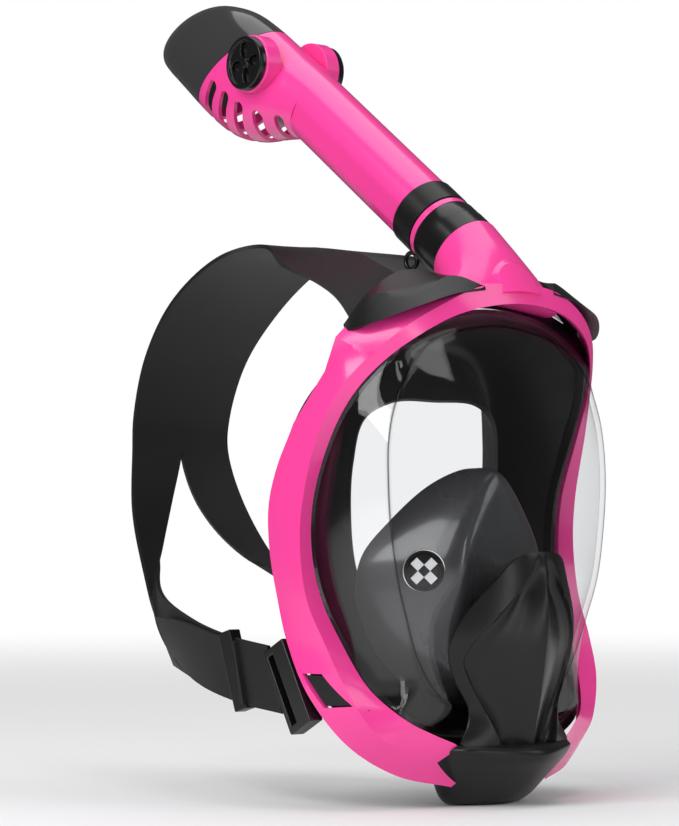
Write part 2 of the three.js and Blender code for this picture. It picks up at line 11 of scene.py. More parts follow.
import bpy
import numpy as np
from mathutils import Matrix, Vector


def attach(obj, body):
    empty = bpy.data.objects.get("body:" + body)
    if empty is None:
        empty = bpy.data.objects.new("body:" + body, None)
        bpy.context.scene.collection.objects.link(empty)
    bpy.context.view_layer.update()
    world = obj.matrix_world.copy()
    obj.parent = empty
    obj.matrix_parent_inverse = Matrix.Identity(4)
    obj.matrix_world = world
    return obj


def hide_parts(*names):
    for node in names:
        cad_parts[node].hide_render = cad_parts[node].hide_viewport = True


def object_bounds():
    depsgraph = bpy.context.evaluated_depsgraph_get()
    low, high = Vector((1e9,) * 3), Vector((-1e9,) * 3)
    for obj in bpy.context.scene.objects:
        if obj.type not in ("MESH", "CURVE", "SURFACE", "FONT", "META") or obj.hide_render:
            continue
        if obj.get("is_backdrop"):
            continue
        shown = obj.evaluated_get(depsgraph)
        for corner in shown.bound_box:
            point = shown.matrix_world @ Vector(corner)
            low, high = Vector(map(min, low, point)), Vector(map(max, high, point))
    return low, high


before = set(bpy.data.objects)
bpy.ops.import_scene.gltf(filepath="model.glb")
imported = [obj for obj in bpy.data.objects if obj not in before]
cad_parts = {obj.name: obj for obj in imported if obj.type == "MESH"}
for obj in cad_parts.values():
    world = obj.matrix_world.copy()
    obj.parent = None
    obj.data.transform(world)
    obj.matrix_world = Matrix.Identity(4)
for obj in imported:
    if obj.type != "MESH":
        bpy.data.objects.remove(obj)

log = logging.getLogger("snorkel_mask")
Array = np.ndarray
MM = 0.001


# ---- curves and surfaces ----------------------------------------------------------------------
class Side(Enum):
    """A side of the wearer, with the sign of its X."""

    RIGHT = -1
    LEFT = 1

    @property
    def letter(self) -> str:
        """The letter that ends the names of this side's pieces."""
        return self.name[0]


def smooth(low: float, high: float, value: Array) -> Array:
    """Eases from 0 at `low` to 1 at `high`: 3t^2 - 2t^3 of the clipped fraction t."""
    t = np.clip((value - low) / (high - low), 0, 1)
    return t * t * (3 - 2 * t)


def spline(points: Array, per_span: int, closed: bool = False) -> Array:
    """A centripetal Catmull-Rom curve through points, or a surface through whole loops.

    Each span is a Hermite cubic whose end slopes come from the neighbours' chords, with the knots
    spaced by the square root of the distance.

    Args:
        points: Shape (k, ..., 3); a row may be one point or a loop of points.
        per_span: Samples in each span.
        closed: Whether the last row joins the first.

    Returns:
        The samples along the first axis; the last row is included when the curve is open.
    """
    p = np.asarray(points, float)
    if closed:
        q = np.concatenate([p[-1:], p, p[:2]])
    else:
        q = np.concatenate([2 * p[:1] - p[1:2], p, 2 * p[-1:] - p[-2:-1]])
    gap = np.sqrt(np.linalg.norm((q[1:] - q[:-1]).reshape(len(q) - 1, -1), axis=1) + 1e-9)
    shape = (-1,) + (1,) * (p.ndim - 1)
    before, here, after = (gap[i:len(gap) - 2 + i].reshape(shape) for i in range(3))
    p0, p1, p2, p3 = q[:-3], q[1:-2], q[2:-1], q[3:]
    slope_in = p2 - p1 + here * ((p1 - p0) / before - (p2 - p0) / (before + here))
    slope_out = p2 - p1 + here * ((p3 - p2) / after - (p3 - p1) / (here + after))
    t = (np.arange(per_span) / per_span).reshape((1, -1) + (1,) * (p.ndim - 1))
    start, leave, end, arrive = (v[:, None] for v in (p1, slope_in, p2, slope_out))
    made = ((2 * t**3 - 3 * t**2 + 1) * start + (t**3 - 2 * t**2 + t) * leave
            + (3 * t**2 - 2 * t**3) * end + (t**3 - t**2) * arrive)
    made = made.reshape((-1,) + p.shape[1:])
    return made if closed else np.concatenate([made, p[-1:]])


def spread(points: Array, count: int, closed: bool = False) -> Array:
    """Samples of the curve through points, evenly spaced by length."""
    dense = spline(points, 40, closed)
    if closed:
        dense = np.concatenate([dense, dense[:1]])
    run = np.concatenate([[0], np.cumsum(np.linalg.norm(np.diff(dense, axis=0), axis=1))])
    at = np.linspace(0, run[-1], count, endpoint=not closed)
    return np.stack([np.interp(at, run, dense[:, k]) for k in range(3)], axis=1)


def mirrored(half: Array, closed: bool = True) -> Array:
    """The full outline of a half drawn from the top centre down the wearer's left side."""
    left = np.asarray(half, float)
    flip = np.array([-1.0, 1.0, 1.0])
    if closed:
        return np.concatenate([left, left[1:-1][::-1] * flip])
    return np.concatenate([left[1:][::-1] * flip, left])


def ring(half: Array, count: int = 192) -> Array:
    """An evenly spaced closed loop through a half outline and its mirror image."""
    return spread(mirrored(half), count, closed=True)


def shrink(loop: Array, distance: float) -> Array:
    """Moves a loop's points towards its middle, seen from the front."""
    inward = (loop.mean(axis=0) - loop) * np.array([1.0, 0.0, 1.0])
    return loop + inward * distance / np.linalg.norm(inward, axis=1, keepdims=True)


def shift(loop: Array, dy: float, dz: float = 0.0) -> Array:
    """Moves points back by dy and up by dz."""
    return loop + np.array([0.0, dy, dz])


def normals(grid: Array, wrap: bool = True) -> Array:
    """Unit normals of a grid: the cross product of its two tangents.

    Args:
        grid: Shape (rows, columns, 3).
        wrap: Whether the columns close on themselves.
    """
    along = np.gradient(grid, axis=0)
    if wrap:
        across = (np.roll(grid, -1, axis=1) - np.roll(grid, 1, axis=1)) / 2
    else:
        across = np.gradient(grid, axis=1)
    n = np.cross(along, across)
    return n / np.maximum(np.linalg.norm(n, axis=2, keepdims=True), 1e-9)


@dataclass
class Skin:
    """Vertices and faces of one closed surface, in millimetres."""

    verts: Array
    faces: list[list[int]]

    def __add__(self, other: "Skin") -> "Skin":
        """Both surfaces in one mesh."""
        moved = [[i + len(self.verts) for i in f] for f in other.faces]
        return Skin(np.concatenate([self.verts, other.verts]), self.faces + moved)

    def outward(self) -> "Skin":
        """The same surface with its faces pointing out, told by the sign of its volume."""
        tris = np.array([[f[0], f[i], f[i + 1]] for f in self.faces for i in range(1, len(f) - 1)])
        a, b, c = (self.verts[tris[:, k]] for k in range(3))
        if np.einsum("ij,ij->", a, np.cross(b, c)) < 0:
            return Skin(self.verts, [f[::-1] for f in self.faces])
        return self

    def moved(self, turn: Array | None = None, by: Array | None = None) -> "Skin":
        """Turned by a 3x3 matrix, then moved."""
        verts = self.verts if turn is None else self.verts @ np.asarray(turn).T
        return Skin(verts if by is None else verts + np.asarray(by, float), self.faces).outward()


def quads(rows: int, columns: int, wrap_rows: bool, wrap_columns: bool) -> Array:
    """The four corners of each cell of a grid whose vertices are numbered row by row."""
    r = np.arange(rows if wrap_rows else rows - 1)[:, None]
    c = np.arange(columns if wrap_columns else columns - 1)[None, :]
    r1, c1 = (r + 1) % rows, (c + 1) % columns
    made = np.stack([r * columns + c, r * columns + c1, r1 * columns + c1, r1 * columns + c], -1)
    return made.reshape(-1, 4)


def tube_skin(grid: Array, joined: bool = False) -> Skin:
    """A closed surface through loops: capped at both ends, or joined end to end."""
    rows, columns = grid.shape[:2]
    verts = grid.reshape(-1, 3)
    faces = quads(rows, columns, joined, True).tolist()
    if not joined:
        for row, centre in ((0, len(verts)), (rows - 1, len(verts) + 1)):
            edge = row * columns + np.arange(columns)
            other = row * columns + (np.arange(columns) + 1) % columns
            pair = (other, edge) if row == 0 else (edge, other)
            faces += np.stack([np.full(columns, centre), *pair], -1).tolist()
        verts = np.concatenate([verts, grid[[0, -1]].mean(axis=1)])
    return Skin(verts, faces).outward()


def slab_skin(outer: Array, inner: Array, wrap: bool = False) -> Skin:
    """A wall between two grids of one shape, closed along its open borders.

    Args:
        outer: Shape (rows, columns, 3).
        inner: The other face of the wall, of the same shape.
        wrap: Whether the rows close on themselves.
    """
    rows, columns = outer.shape[:2]
    size = rows * columns
    face = quads(rows, columns, wrap, False)
    faces = face.tolist() + (face[:, ::-1] + size).tolist()

    def border(line: Array, close: bool) -> None:
        """Joins a border of the outer face to the inner face's."""
        a, b = (line, np.roll(line, -1)) if close else (line[:-1], line[1:])
        faces.extend(np.stack([b, a, a + size, b + size], -1).tolist())

    steps = np.arange(rows)
    border(steps[::-1] * columns, wrap)
    border(steps * columns + columns - 1, wrap)
    if not wrap:
        border(np.arange(columns), False)
        border((rows - 1) * columns + np.arange(columns)[::-1], False)
    verts = np.concatenate([outer.reshape(-1, 3), inner.reshape(-1, 3)])
    return Skin(verts, faces).outward()


def turned(profile: Array, count: int = 96) -> Skin:
    """A profile of (radius, place along Z) that closes on itself, turned about Z."""
    r, s = np.asarray(profile, float).T
    a = np.linspace(0, 2 * math.pi, count, endpoint=False)[None, :]
    grid = np.stack([r[:, None] * np.cos(a), r[:, None] * np.sin(a),
                     np.broadcast_to(s[:, None], (len(r), count))], -1)
    return tube_skin(grid, joined=True)


def block_skin(x: float, y: float, z: float) -> Skin:
    """A box about the origin."""
    corners = np.array([[-1, -1], [1, -1], [1, 1], [-1, 1]]) / 2 * np.array([x, y])
    grid = np.stack([np.column_stack([corners, np.full(4, h)]) for h in (-z / 2, z / 2)])
    faces = quads(2, 4, False, True).tolist() + [[3, 2, 1, 0], [4, 5, 6, 7]]
    return Skin(grid.reshape(-1, 3), faces).outward()


def spin(axis: str, angle: float) -> Array:
    """The 3x3 matrix of a turn about X, Y or Z."""
    c, s = math.cos(angle), math.sin(angle)
    i, j = {"x": (1, 2), "y": (2, 0), "z": (0, 1)}[axis]
    m = np.eye(3)
    m[i, i], m[i, j], m[j, i], m[j, j] = c, -s, s, c
    return m


def mirror_x(skin: Skin, side: Side) -> Skin:
    """A piece drawn on the wearer's left, or its mirror image on the right."""
    return skin.moved(np.diag([side.value, 1.0, 1.0]))


# ---- finishes ---------------------------------------------------------------------------------
Colour = tuple[float, float, float]


class Recipe:
    """A material being made out of named nodes."""

    def __init__(self, name: str) -> None:
        """Starts an empty material with its output."""
        self.material = bpy.data.materials.new(name)
        self.material.use_nodes = True
        self.tree = self.material.node_tree
        self.tree.nodes.clear()
        self.output = self.node("ShaderNodeOutputMaterial")
        self.place = self.node("ShaderNodeTexCoord").outputs["Object"]

    def node(self, kind: str, settings: dict | None = None, **inputs: object) -> bpy.types.Node:
        """Adds a node; inputs name its sockets with underscores for spaces."""
        made = self.tree.nodes.new(kind)
        for key, value in (settings or {}).items():
            setattr(made, key, value)
        for key, value in inputs.items():
            self.feed(made, key.replace("_", " "), value)
        return made

    def feed(self, node: bpy.types.Node, socket: str | int, value: object) -> None:
        """Links an output to a socket, or sets the socket's own value."""
        if isinstance(value, bpy.types.NodeSocket):
            self.tree.links.new(value, node.inputs[socket])
        else:
            if isinstance(value, tuple) and len(value) == 3 and node.inputs[socket].type == "RGBA":
                value = (*value, 1.0)
            node.inputs[socket].default_value = value

    def noise(self, scale: float, detail: float = 3.0, stretch: Colour = (1, 1, 1)) -> object:
        """A noise pattern fixed to the piece; `scale` is waves per metre."""
        at = self.node("ShaderNodeMapping", Vector=self.place, Scale=stretch)
        made = self.node("ShaderNodeTexNoise", Vector=at.outputs[0], Scale=scale, Detail=detail)
        return made.outputs[0]

    def between(self, factor: object, low: object, high: object) -> object:
        """Maps a factor of 0 to 1 onto a range of numbers."""
        made = self.node("ShaderNodeMapRange", Value=factor, To_Min=low, To_Max=high)
        return made.outputs[0]

    def mix(self, factor: object, one: Colour, two: Colour) -> object:
        """Mixes two colours."""
        made = self.node("ShaderNodeMix", {"data_type": "RGBA"})
        self.feed(made, 0, factor)
        self.feed(made, 6, one)
        self.feed(made, 7, two)
        return made.outputs[2]

    def bump(self, height: object, strength: float, depth: float) -> object:
        """A bump of `depth` metres."""
        made = self.node("ShaderNodeBump", Height=height, Strength=strength, Distance=depth)
        return made.outputs[0]

    def finish(self, shader: bpy.types.Node) -> bpy.types.Material:
        """Ends the material with its shader."""
        self.tree.links.new(shader.outputs[0], self.output.inputs["Surface"])
        return self.material


def darker(colour: Colour, share: float) -> Colour:
    """A colour with its light reduced to a share."""
    return tuple(c * share for c in colour)


@dataclass(frozen=True)
class MouldedPlastic:
    """Injection-moulded plastic: faint flow variation in colour and gloss, and a fine grain."""

    name: str
    slot: str
    colour: Colour
    roughness: float = 0.25
    spread: float = 0.06
    coat: float = 0.0
    coat_roughness: float = 0.08
    grain: float = 0.00002
    grain_scale: float = 2600.0
    specular: float = 0.5

    def make(self) -> bpy.types.Material:
        """Builds the node tree."""
        r = Recipe(self.name)
        flow = r.noise(22.0, 4.0, (1.0, 1.0, 0.5))
        grain = r.noise(self.grain_scale, 2.0)
        body = r.mix(flow, darker(self.colour, 0.93), self.colour)
        rough = r.between(flow, self.roughness - self.spread / 2, self.roughness + self.spread / 2)
        shader = r.node(
            "ShaderNodeBsdfPrincipled", Base_Color=body, Roughness=rough,
            Normal=r.bump(grain, 0.35, self.grain), Coat_Weight=self.coat,
            Coat_Roughness=self.coat_roughness, Specular_IOR_Level=self.specular)
        return r.finish(shader)


@dataclass(frozen=True)
class Rubber:
    """Silicone or rubber: soft sheen, matte mottling and a slight skin texture."""

    name: str
    slot: str
    colour: Colour
    roughness: float = 0.42
    sheen: float = 0.06
    depth: float = 0.00004

    def make(self) -> bpy.types.Material:
        """Builds the node tree."""
        r = Recipe(self.name)
        mottle = r.noise(45.0, 5.0)
        skin = r.noise(1500.0, 3.0)
        body = r.mix(mottle, darker(self.colour, 0.8), self.colour)
        rough = r.between(mottle, self.roughness - 0.06, self.roughness + 0.06)
        shader = r.node(
            "ShaderNodeBsdfPrincipled", Base_Color=body, Roughness=rough,
            Normal=r.bump(skin, 0.4, self.depth), Sheen_Weight=self.sheen, Sheen_Roughness=0.4)
        return r.finish(shader)


@dataclass(frozen=True)
class StrapWeb:
    """Elastic strap: fine ribs across the band that follow its own length and width."""

    name: str = "strap_web"
    slot: str = "strap_rubber"
    colour: Colour = (0.006, 0.006, 0.0065)
    ribs: float = 520.0

    def make(self) -> bpy.types.Material:
        """Builds the node tree; the UV map holds metres along and across the band."""
        r = Recipe(self.name)
        uv = r.node("ShaderNodeUVMap", {"uv_map": "UVMap"}).outputs[0]
        wave = r.node("ShaderNodeTexWave", {"bands_direction": "X"}, Vector=uv, Scale=self.ribs,
                      Distortion=0.4, Detail=1.0)
        weave = r.node("ShaderNodeTexWave", {"bands_direction": "Y"}, Vector=uv,
                       Scale=self.ribs * 0.8, Distortion=0.2)
        height = r.node("ShaderNodeMath", {"operation": "MULTIPLY_ADD"})
        r.feed(height, 0, wave.outputs[1])
        r.feed(height, 1, 0.6)
        r.feed(height, 2, weave.outputs[1])
        wear = r.noise(30.0, 4.0)
        body = r.mix(wear, darker(self.colour, 0.75), self.colour)
        shader = r.node(
            "ShaderNodeBsdfPrincipled", Base_Color=body, Roughness=r.between(wear, 0.46, 0.58),
            Normal=r.bump(height.outputs[0], 0.25, 0.00005), Sheen_Weight=0.08,
            Sheen_Roughness=0.35, Specular_IOR_Level=0.4)
        return r.finish(shader)


@dataclass(frozen=True)
class ClearSheet:
    """Polycarbonate seen through: light passes by a tint, and grazing rays see the gloss."""

    name: str
    slot: str
    tint: Colour
    edge_tint: Colour
    gloss_roughness: float = 0.02
    haze: float = 0.0

    def make(self) -> bpy.types.Material:
        """Builds the node tree; the `edge` attribute is 1 along the moulded edges, where the tint
        turns to a darker one as painted shade, in place of the darkening that refraction gives
        there.
        """
        r = Recipe(self.name)
        edge = r.node("ShaderNodeAttribute", {"attribute_name": "edge"}).outputs["Fac"]
        smear = r.noise(14.0, 3.0)
        # Painted shade: along the `edge` attribute the see-through tint turns dark, standing in for
        # the darkening that refraction gives at the crease.
        tint = r.mix(edge, self.tint, self.edge_tint)
        through = r.node("ShaderNodeBsdfTransparent", Color=tint)
        gloss = r.node("ShaderNodeBsdfGlossy", Color=(1.0, 1.0, 1.0),
                       Roughness=r.between(smear, self.gloss_roughness * 0.6,
                                           self.gloss_roughness * 1.6))
        facing = r.node("ShaderNodeLayerWeight", Blend=0.5).outputs["Facing"]
        steep = r.node("ShaderNodeMath", {"operation": "POWER"})
        r.feed(steep, 0, facing)
        r.feed(steep, 1, 5.0)
        grazing = r.between(steep.outputs[0], 0.03, 0.75)
        both = r.node("ShaderNodeMixShader")
        r.feed(both, 0, grazing)
        r.feed(both, 1, through.outputs[0])
        r.feed(both, 2, gloss.outputs[0])
        if not self.haze:
            return r.finish(both)
        body = r.node("ShaderNodeBsdfPrincipled", Base_Color=darker(self.tint, 0.2),
                      Roughness=0.16, Coat_Weight=0.5, Coat_Roughness=0.05)
        misty = r.node("ShaderNodeMixShader")
        r.feed(misty, 0, r.between(smear, self.haze - 0.04, self.haze + 0.04))
        r.feed(misty, 1, both.outputs[0])
        r.feed(misty, 2, body.outputs[0])
        return r.finish(misty)


@dataclass(frozen=True)
class Finishes:
    """Every finish of the mask."""

    pink: MouldedPlastic = MouldedPlastic("pink_gloss", "pink_shell", (0.93, 0.052, 0.33),
                                          roughness=0.22, coat=0.35, coat_roughness=0.12)
    black: MouldedPlastic = MouldedPlastic("black_satin", "black_shell", (0.007, 0.007, 0.0075),
                                           roughness=0.33, grain=0.00003, specular=0.36)
    gloss_black: MouldedPlastic = MouldedPlastic("black_gloss", "black_shell",
                                                 (0.006, 0.006, 0.0065), roughness=0.22,
                                                 grain=0.00001)
    skirt: Rubber = Rubber("skirt_silicone", "black_silicone", (0.010, 0.010, 0.0105))
    smoke: MouldedPlastic = MouldedPlastic("smoke_silicone", "smoke_silicone",
                                           (0.050, 0.050, 0.052), roughness=0.28, coat=0.8,
                                           coat_roughness=0.1, grain=0.000004)
    flap: ClearSheet = ClearSheet("flap_silicone", "smoke_silicone", (0.86, 0.86, 0.87),
                                  (0.5, 0.5, 0.5), gloss_roughness=0.2)
    foam: MouldedPlastic = MouldedPlastic("float_shell", "white_float", (0.75, 0.73, 0.68),
                                          roughness=0.5)
    strap: StrapWeb = StrapWeb()
    # The lens's second tint is painted shade, laid along its crease.
    lens: ClearSheet = ClearSheet("clear_lens", "clear_lens", (0.95, 0.955, 0.96),
                                  (0.05, 0.05, 0.055))
    dome: ClearSheet = ClearSheet("smoke_dome", "smoke_dome", (0.30, 0.30, 0.31),
                                  (0.05, 0.05, 0.05), gloss_roughness=0.12, haze=0.62)


# ---- making pieces ----------------------------------------------------------------------------
@dataclass
class Workshop:
    """Puts meshes into the scene, dresses them and reports them."""

    finishes: Finishes = field(default_factory=Finishes)
    made: dict[str, bpy.types.Material] = field(default_factory=dict)

    def material(self, finish: object) -> bpy.types.Material:
        """The material of a finish, made once."""
        if finish.name not in self.made:
            self.made[finish.name] = finish.make()
        return self.made[finish.name]

    def mesh(self, name: str, skin: Skin) -> bpy.types.Object:
        """A mesh object at the origin, in metres."""
        data = bpy.data.meshes.new(name)
        data.from_pydata((skin.verts * MM).tolist(), [], skin.faces)
        data.validate()
        data.update()
        made = bpy.data.objects.new(name, data)
        bpy.context.scene.collection.objects.link(made)
        return made

    def carve(self, piece: bpy.types.Object, cutters: list[Skin]) -> None:
        """Takes solids out of a piece and keeps the result as its mesh."""
        tools = [self.mesh(f"cutter_{i}", skin) for i, skin in enumerate(cutters)]
        for tool in tools:
            cut = piece.modifiers.new("cut", "BOOLEAN")
            cut.object, cut.solver, cut.operation = tool, "EXACT", "DIFFERENCE"
        scene = bpy.context.evaluated_depsgraph_get()
        result = bpy.data.meshes.new_from_object(piece.evaluated_get(scene))
        piece.modifiers.clear()
        piece.data = result
        for tool in tools:
            bpy.data.objects.remove(tool)

    def piece(self, name: str, skin: Skin, finish: object, body: str, nodes: tuple[str, ...],
              bevel: float = 0.0, angle: float = 32.0,
              cutters: list[Skin] | None = None) -> bpy.types.Object:
        """Makes one visible piece.

        Args:
            name: The piece's name.
            skin: Its surface.
            finish: The finish it is dressed in.
            body: The body it rides on.
            nodes: The nodes it stands for.
            bevel: Radius of its rounded edges, in millimetres.
            angle: Edges sharper than this, in degrees, are rounded or shaded sharp.
            cutters: Solids taken out of it.

        Returns:
            The finished object.
        """
        made = self.mesh(name, skin)
        if cutters:
            self.carve(made, cutters)
        made.data.shade_smooth()
        if bevel:
            rounding = made.modifiers.new("rounded_edges", "BEVEL")
            rounding.width, rounding.segments = bevel * MM, 3
            rounding.limit_method, rounding.angle_limit = "ANGLE", math.radians(angle)
            rounding.harden_normals = True
        else:
            made.data.set_sharp_from_angle(angle=math.radians(angle))
        made.data.materials.clear()
        made.data.materials.append(self.material(finish))
        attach(made, body)
        if nodes:
            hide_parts(*nodes)
        log.info("%s: %d faces on %s", name, len(made.data.polygons), body)
        return made


# ---- the frame --------------------------------------------------------------------------------
@dataclass
class MaskFrame:
    """The pink frame: a bent strip with a ridge outside, split into two prongs by the chin."""

    wall: float = 3.2
    crown: float = 0.7
    per_span: int = 9
    wing: tuple = (1.4, 2.0, 5.8, 6.6)
    lip: tuple = (
        (0, -95.5, 110.5), (25, -94, 108), (44, -89.5, 102.5), (60, -83, 93.5), (73, -73, 82),
        (83.6, -61, 66), (88.6, -49, 46), (90.3, -35.5, 13), (90, -33, -12), (87.5, -37, -38),
        (83, -47.5, -61), (76, -61.5, -85), (62.8, -74.7, -100.6), (52, -80, -106.8),
        (40, -86, -112.5))
    ridge: tuple = (
        (0, -93, 121), (28, -92, 118), (50, -88, 108.5), (68, -79, 96.5), (80.5, -68, 83),
        (90, -57, 68), (96.5, -47, 46.5), (99, -37, 12), (99.5, -35, -12), (98.8, -39.5, -40),
        (96, -50, -62), (91, -60, -84), (79, -68, -106), (66, -72.5, -115),
        (50, -77, -122))
    rear: tuple = (
        (0, -48, 127), (30, -50, 124), (56, -53, 117), (78, -56, 105), (90.5, -52, 92),
        (89, -42, 75), (96, -26, 49), (98, -10, 12), (97.5, -9, -13), (97.5, -15.5, -40),
        (98.3, -24, -62), (98.2, -40, -88), (84.5, -54, -113), (62, -66, -128.5),
        (34, -76.5, -135))
    window: tuple = ((-36, -77), (-48, -77), (-62, -93), (-48, -94))

    def edges(self) -> tuple[Array, Array, Array]:
        """The lip, the ridge and the rear edge, from the right prong over the top to the left.

        Along each wing, counted in points from the top, the rear edge runs straight between its
        points and eases into the curve at both ends.
        """
        lip, ridge, rear = (spline(mirrored(half, closed=False), self.per_span)
                            for half in (self.lip, self.ridge, self.rear))
        knots = mirrored(self.rear, closed=False)
        at = np.arange(len(rear)) / self.per_span
        places = np.arange(len(knots))
        straight = np.stack([np.interp(at, places, knots[:, k]) for k in range(3)], 1)
        station = np.abs(at - (len(knots) - 1) / 2)
        starts, full, eases, ends = self.wing
        share = smooth(starts, full, station) * (1 - smooth(eases, ends, station))
        return lip, ridge, rear + (straight - rear) * share[:, None]

    def skin(self) -> Skin:
        """The strip: straight from lip to ridge, slightly crowned from ridge to rear edge."""
        lip, ridge, rear = self.edges()
        depth = rear - ridge
        depth /= np.linalg.norm(depth, axis=1, keepdims=True)
        inward = lip - ridge
        inward -= depth * np.sum(inward * depth, axis=1, keepdims=True)
        inward *= self.wall / np.linalg.norm(inward, axis=1, keepdims=True)
        back, under = rear + inward, ridge + inward + depth * self.wall
        seat = lip + depth * self.wall

        def across(a: Array, b: Array, steps: int, crown: float) -> Array:
            """Rows from a to b, bowed out by `crown` at the middle: 4t(1 - t)."""
            t = (np.arange(steps) / steps)[None, :, None]
            bow = -inward / self.wall * crown
            return a[:, None] * (1 - t) + b[:, None] * t + bow[:, None] * 4 * t * (1 - t)

        outer = np.concatenate([across(lip, ridge, 4, 0.0), across(ridge, rear, 8, self.crown),
                                rear[:, None]], axis=1)
        inner = np.concatenate([across(seat, under, 4, 0.0), across(under, back, 8, self.crown),
                                back[:, None]], axis=1)
        return slab_skin(outer, inner)

    def slot(self, side: Side, grow: float = 1.0, near: float = 80.0, far: float = 110.0,
             lean: float = 0.0) -> Skin:
        """The prism through the frame's side where the buckle's key shows.

        Args:
            side: Which side of the mask.
            grow: The prism's outline as a share of the slot's.
            near: Where it starts along X.
            far: Where it ends along X.
            lean: How far its ends lean outwards for each millimetre towards the back.
        """
        corners = np.array(self.window, float)
        away = corners - corners.mean(axis=0)
        corners = corners.mean(axis=0) + away * grow
        loops = np.stack([np.column_stack([x + lean * away[:, 0] * grow, corners])
                          for x in (near, far)])
        return mirror_x(tube_skin(loops), side)

    def build(self, shop: Workshop) -> None:
        """Makes the frame."""
        shop.piece("pink_frame", self.skin(), shop.finishes.pink, "mask", ("frame_shell",),
                   bevel=0.9, angle=24, cutters=[self.slot(side) for side in Side])


# ---- the visor and what clamps it -------------------------------------------------------------
@dataclass
class Visor:
    """The clear window, its side walls and the clamp behind its rim."""

    frame_shape: MaskFrame
    wall: float = 2.2
    rim_front: float = -72.0
    lip_bottom: tuple = (0, -90, -116)
    crease: tuple = (
        (0, -77, 100), (33, -77.5, 95.5), (51, -78, 88.5), (64.5, -78.5, 75), (74.5, -78, 56),
        (78.3, -78, 39), (79, -78.5, 20), (77.5, -78.5, -2), (72.5, -78.5, -30),
        (65.5, -77.5, -50), (57, -76.5, -70), (44, -77.5, -88), (24, -80, -99), (0, -82, -103))
    centre_height: float = 5.0
    bulge: float = 5.0
    nose_bulge: float = 6.0
    nose_height: float = -40.0
    side_bow: float = 2.0
    # Width of the dark line of painted shade along the crease.
    line_width: float = 0.6
    clamp_width: float = 2.6
    clamp_depth: float = 6.0
    flange: float = 1.6
    flange_gap: float = 7.5
    rear_bottom: tuple = (0, -74, -128)

    def rim(self) -> Array:
        """The rim follows the frame's lip but stays behind the brow and the chin."""
        loop = shift(shrink(ring((*self.frame_shape.lip, self.lip_bottom)), 1.0), 1.2)
        loop[:, 1] = np.maximum(loop[:, 1], self.rim_front)
        return loop

    def front(self, fraction: Array) -> Array:
        """The window's surface at shares of the way from its centre to its crease.

        It bulges by b(1 - f^2) all over, and by a bell in front of the nose.
        """
        f = np.asarray(fraction, float)[:, None]
        loop = ring(self.crease)
        x = f * loop[:, 0]
        z = self.centre_height + f * (loop[:, 2] - self.centre_height)
        nose = self.nose_bulge * np.exp(-((x / 34) ** 2) - ((z - self.nose_height) / 40) ** 2)
        flat = loop[:, 1].mean()
        y = flat + (loop[:, 1] - flat) * f**2 - self.bulge * (1 - f**2) - nose * (1 - f**4)
        return np.stack([x, y, z], -1)

    def outside(self) -> tuple[Array, Array]:
        """The wall's outer and inner loops, from the window's centre over the crease to the rim.

        The side bows out by the sine of the share of the way down it, and the crease is eased.
        """
        f = np.concatenate([np.linspace(0.02, 0.95, 18), [0.972, 0.99]])
        window, within = self.front(f), shift(self.front(f * 0.975), self.wall)
        crease, rim = self.front(np.ones(1))[0], self.rim()
        t = np.concatenate([[0.0, 0.02, 0.05, 0.1], np.linspace(0.18, 1, 10)])[:, None, None]
        bow = (shrink(crease, -self.side_bow) - crease) * np.sin(math.pi * t)
        side = crease + (rim - crease) * t + bow
        inset = np.stack([shift(shrink(loop, self.wall), self.wall * (1 - share))
                          for loop, share in zip(side, t.ravel())])
        return np.concatenate([window, side]), np.concatenate([within, inset])

    def clamp(self) -> Skin:
        """The clamp: a square section carried round the rim, with a flange out to the frame.

        The flange is full across the brow, a third as deep by the chin and a mere edge between.
        """
        base = shift(shrink(self.rim(), 0.5), 0.6)
        profile = [(0.0, 0.0), (self.clamp_width, 0.0), (self.clamp_width, self.clamp_depth),
                   (0.0, self.clamp_depth)]
        section = np.stack([shift(shrink(base, inset), back) for inset, back in profile])
        near = shift(shrink(self.rim(), -0.2), 3.2)
        rear = shift(shrink(ring((*self.frame_shape.rear, self.rear_bottom)), self.flange_gap), -7)
        z = near[:, 2:]
        reach = 0.05 + 0.95 * smooth(30, 75, z) + 0.3 * smooth(-82, -100, z)
        rear = near + (rear - near) * reach
        flange = np.stack([near, (near + rear) / 2, rear])
        flange = np.concatenate([flange, shift(flange[::-1], self.flange)])
        return tube_skin(section, joined=True) + tube_skin(flange, joined=True)

    def build(self, shop: Workshop) -> None:
        """Makes the visor and its clamp."""
        outer, inner = self.outside()
        skin = tube_skin(np.concatenate([outer, inner[::-1]]))
        lens = shop.piece("clear_visor", skin, shop.finishes.lens, "mask", ("visor_lens",),
                          angle=62)
        self.mark_edge(lens, self.front(np.ones(1))[0])
        shop.piece("skirt_clamp", self.clamp(), shop.finishes.black, "mask", ("skirt_retainer",),
                   bevel=0.5)

    def mark_edge(self, lens: bpy.types.Object, crease: Array) -> None:
        """Writes the `edge` attribute: a narrow bell about the crease, along which the lens's tint
        is darkened as painted shade.
        """
        size = len(lens.data.vertices)
        co = np.zeros(size * 3)
        lens.data.vertices.foreach_get("co", co)
        co = co.reshape(-1, 3) / MM
        far = np.full(size, 1e9)
        for block in np.array_split(np.arange(size), 40):
            gap = co[block][:, None] - crease[None]
            far[block] = np.sqrt((gap**2).sum(-1).min(axis=1))
        crease_shade_mark = lens.data.attributes.new("edge", "FLOAT", "POINT")
        crease_shade_mark.data.foreach_set("value", np.exp(-((far / self.line_width) ** 2)).astype(np.float32))


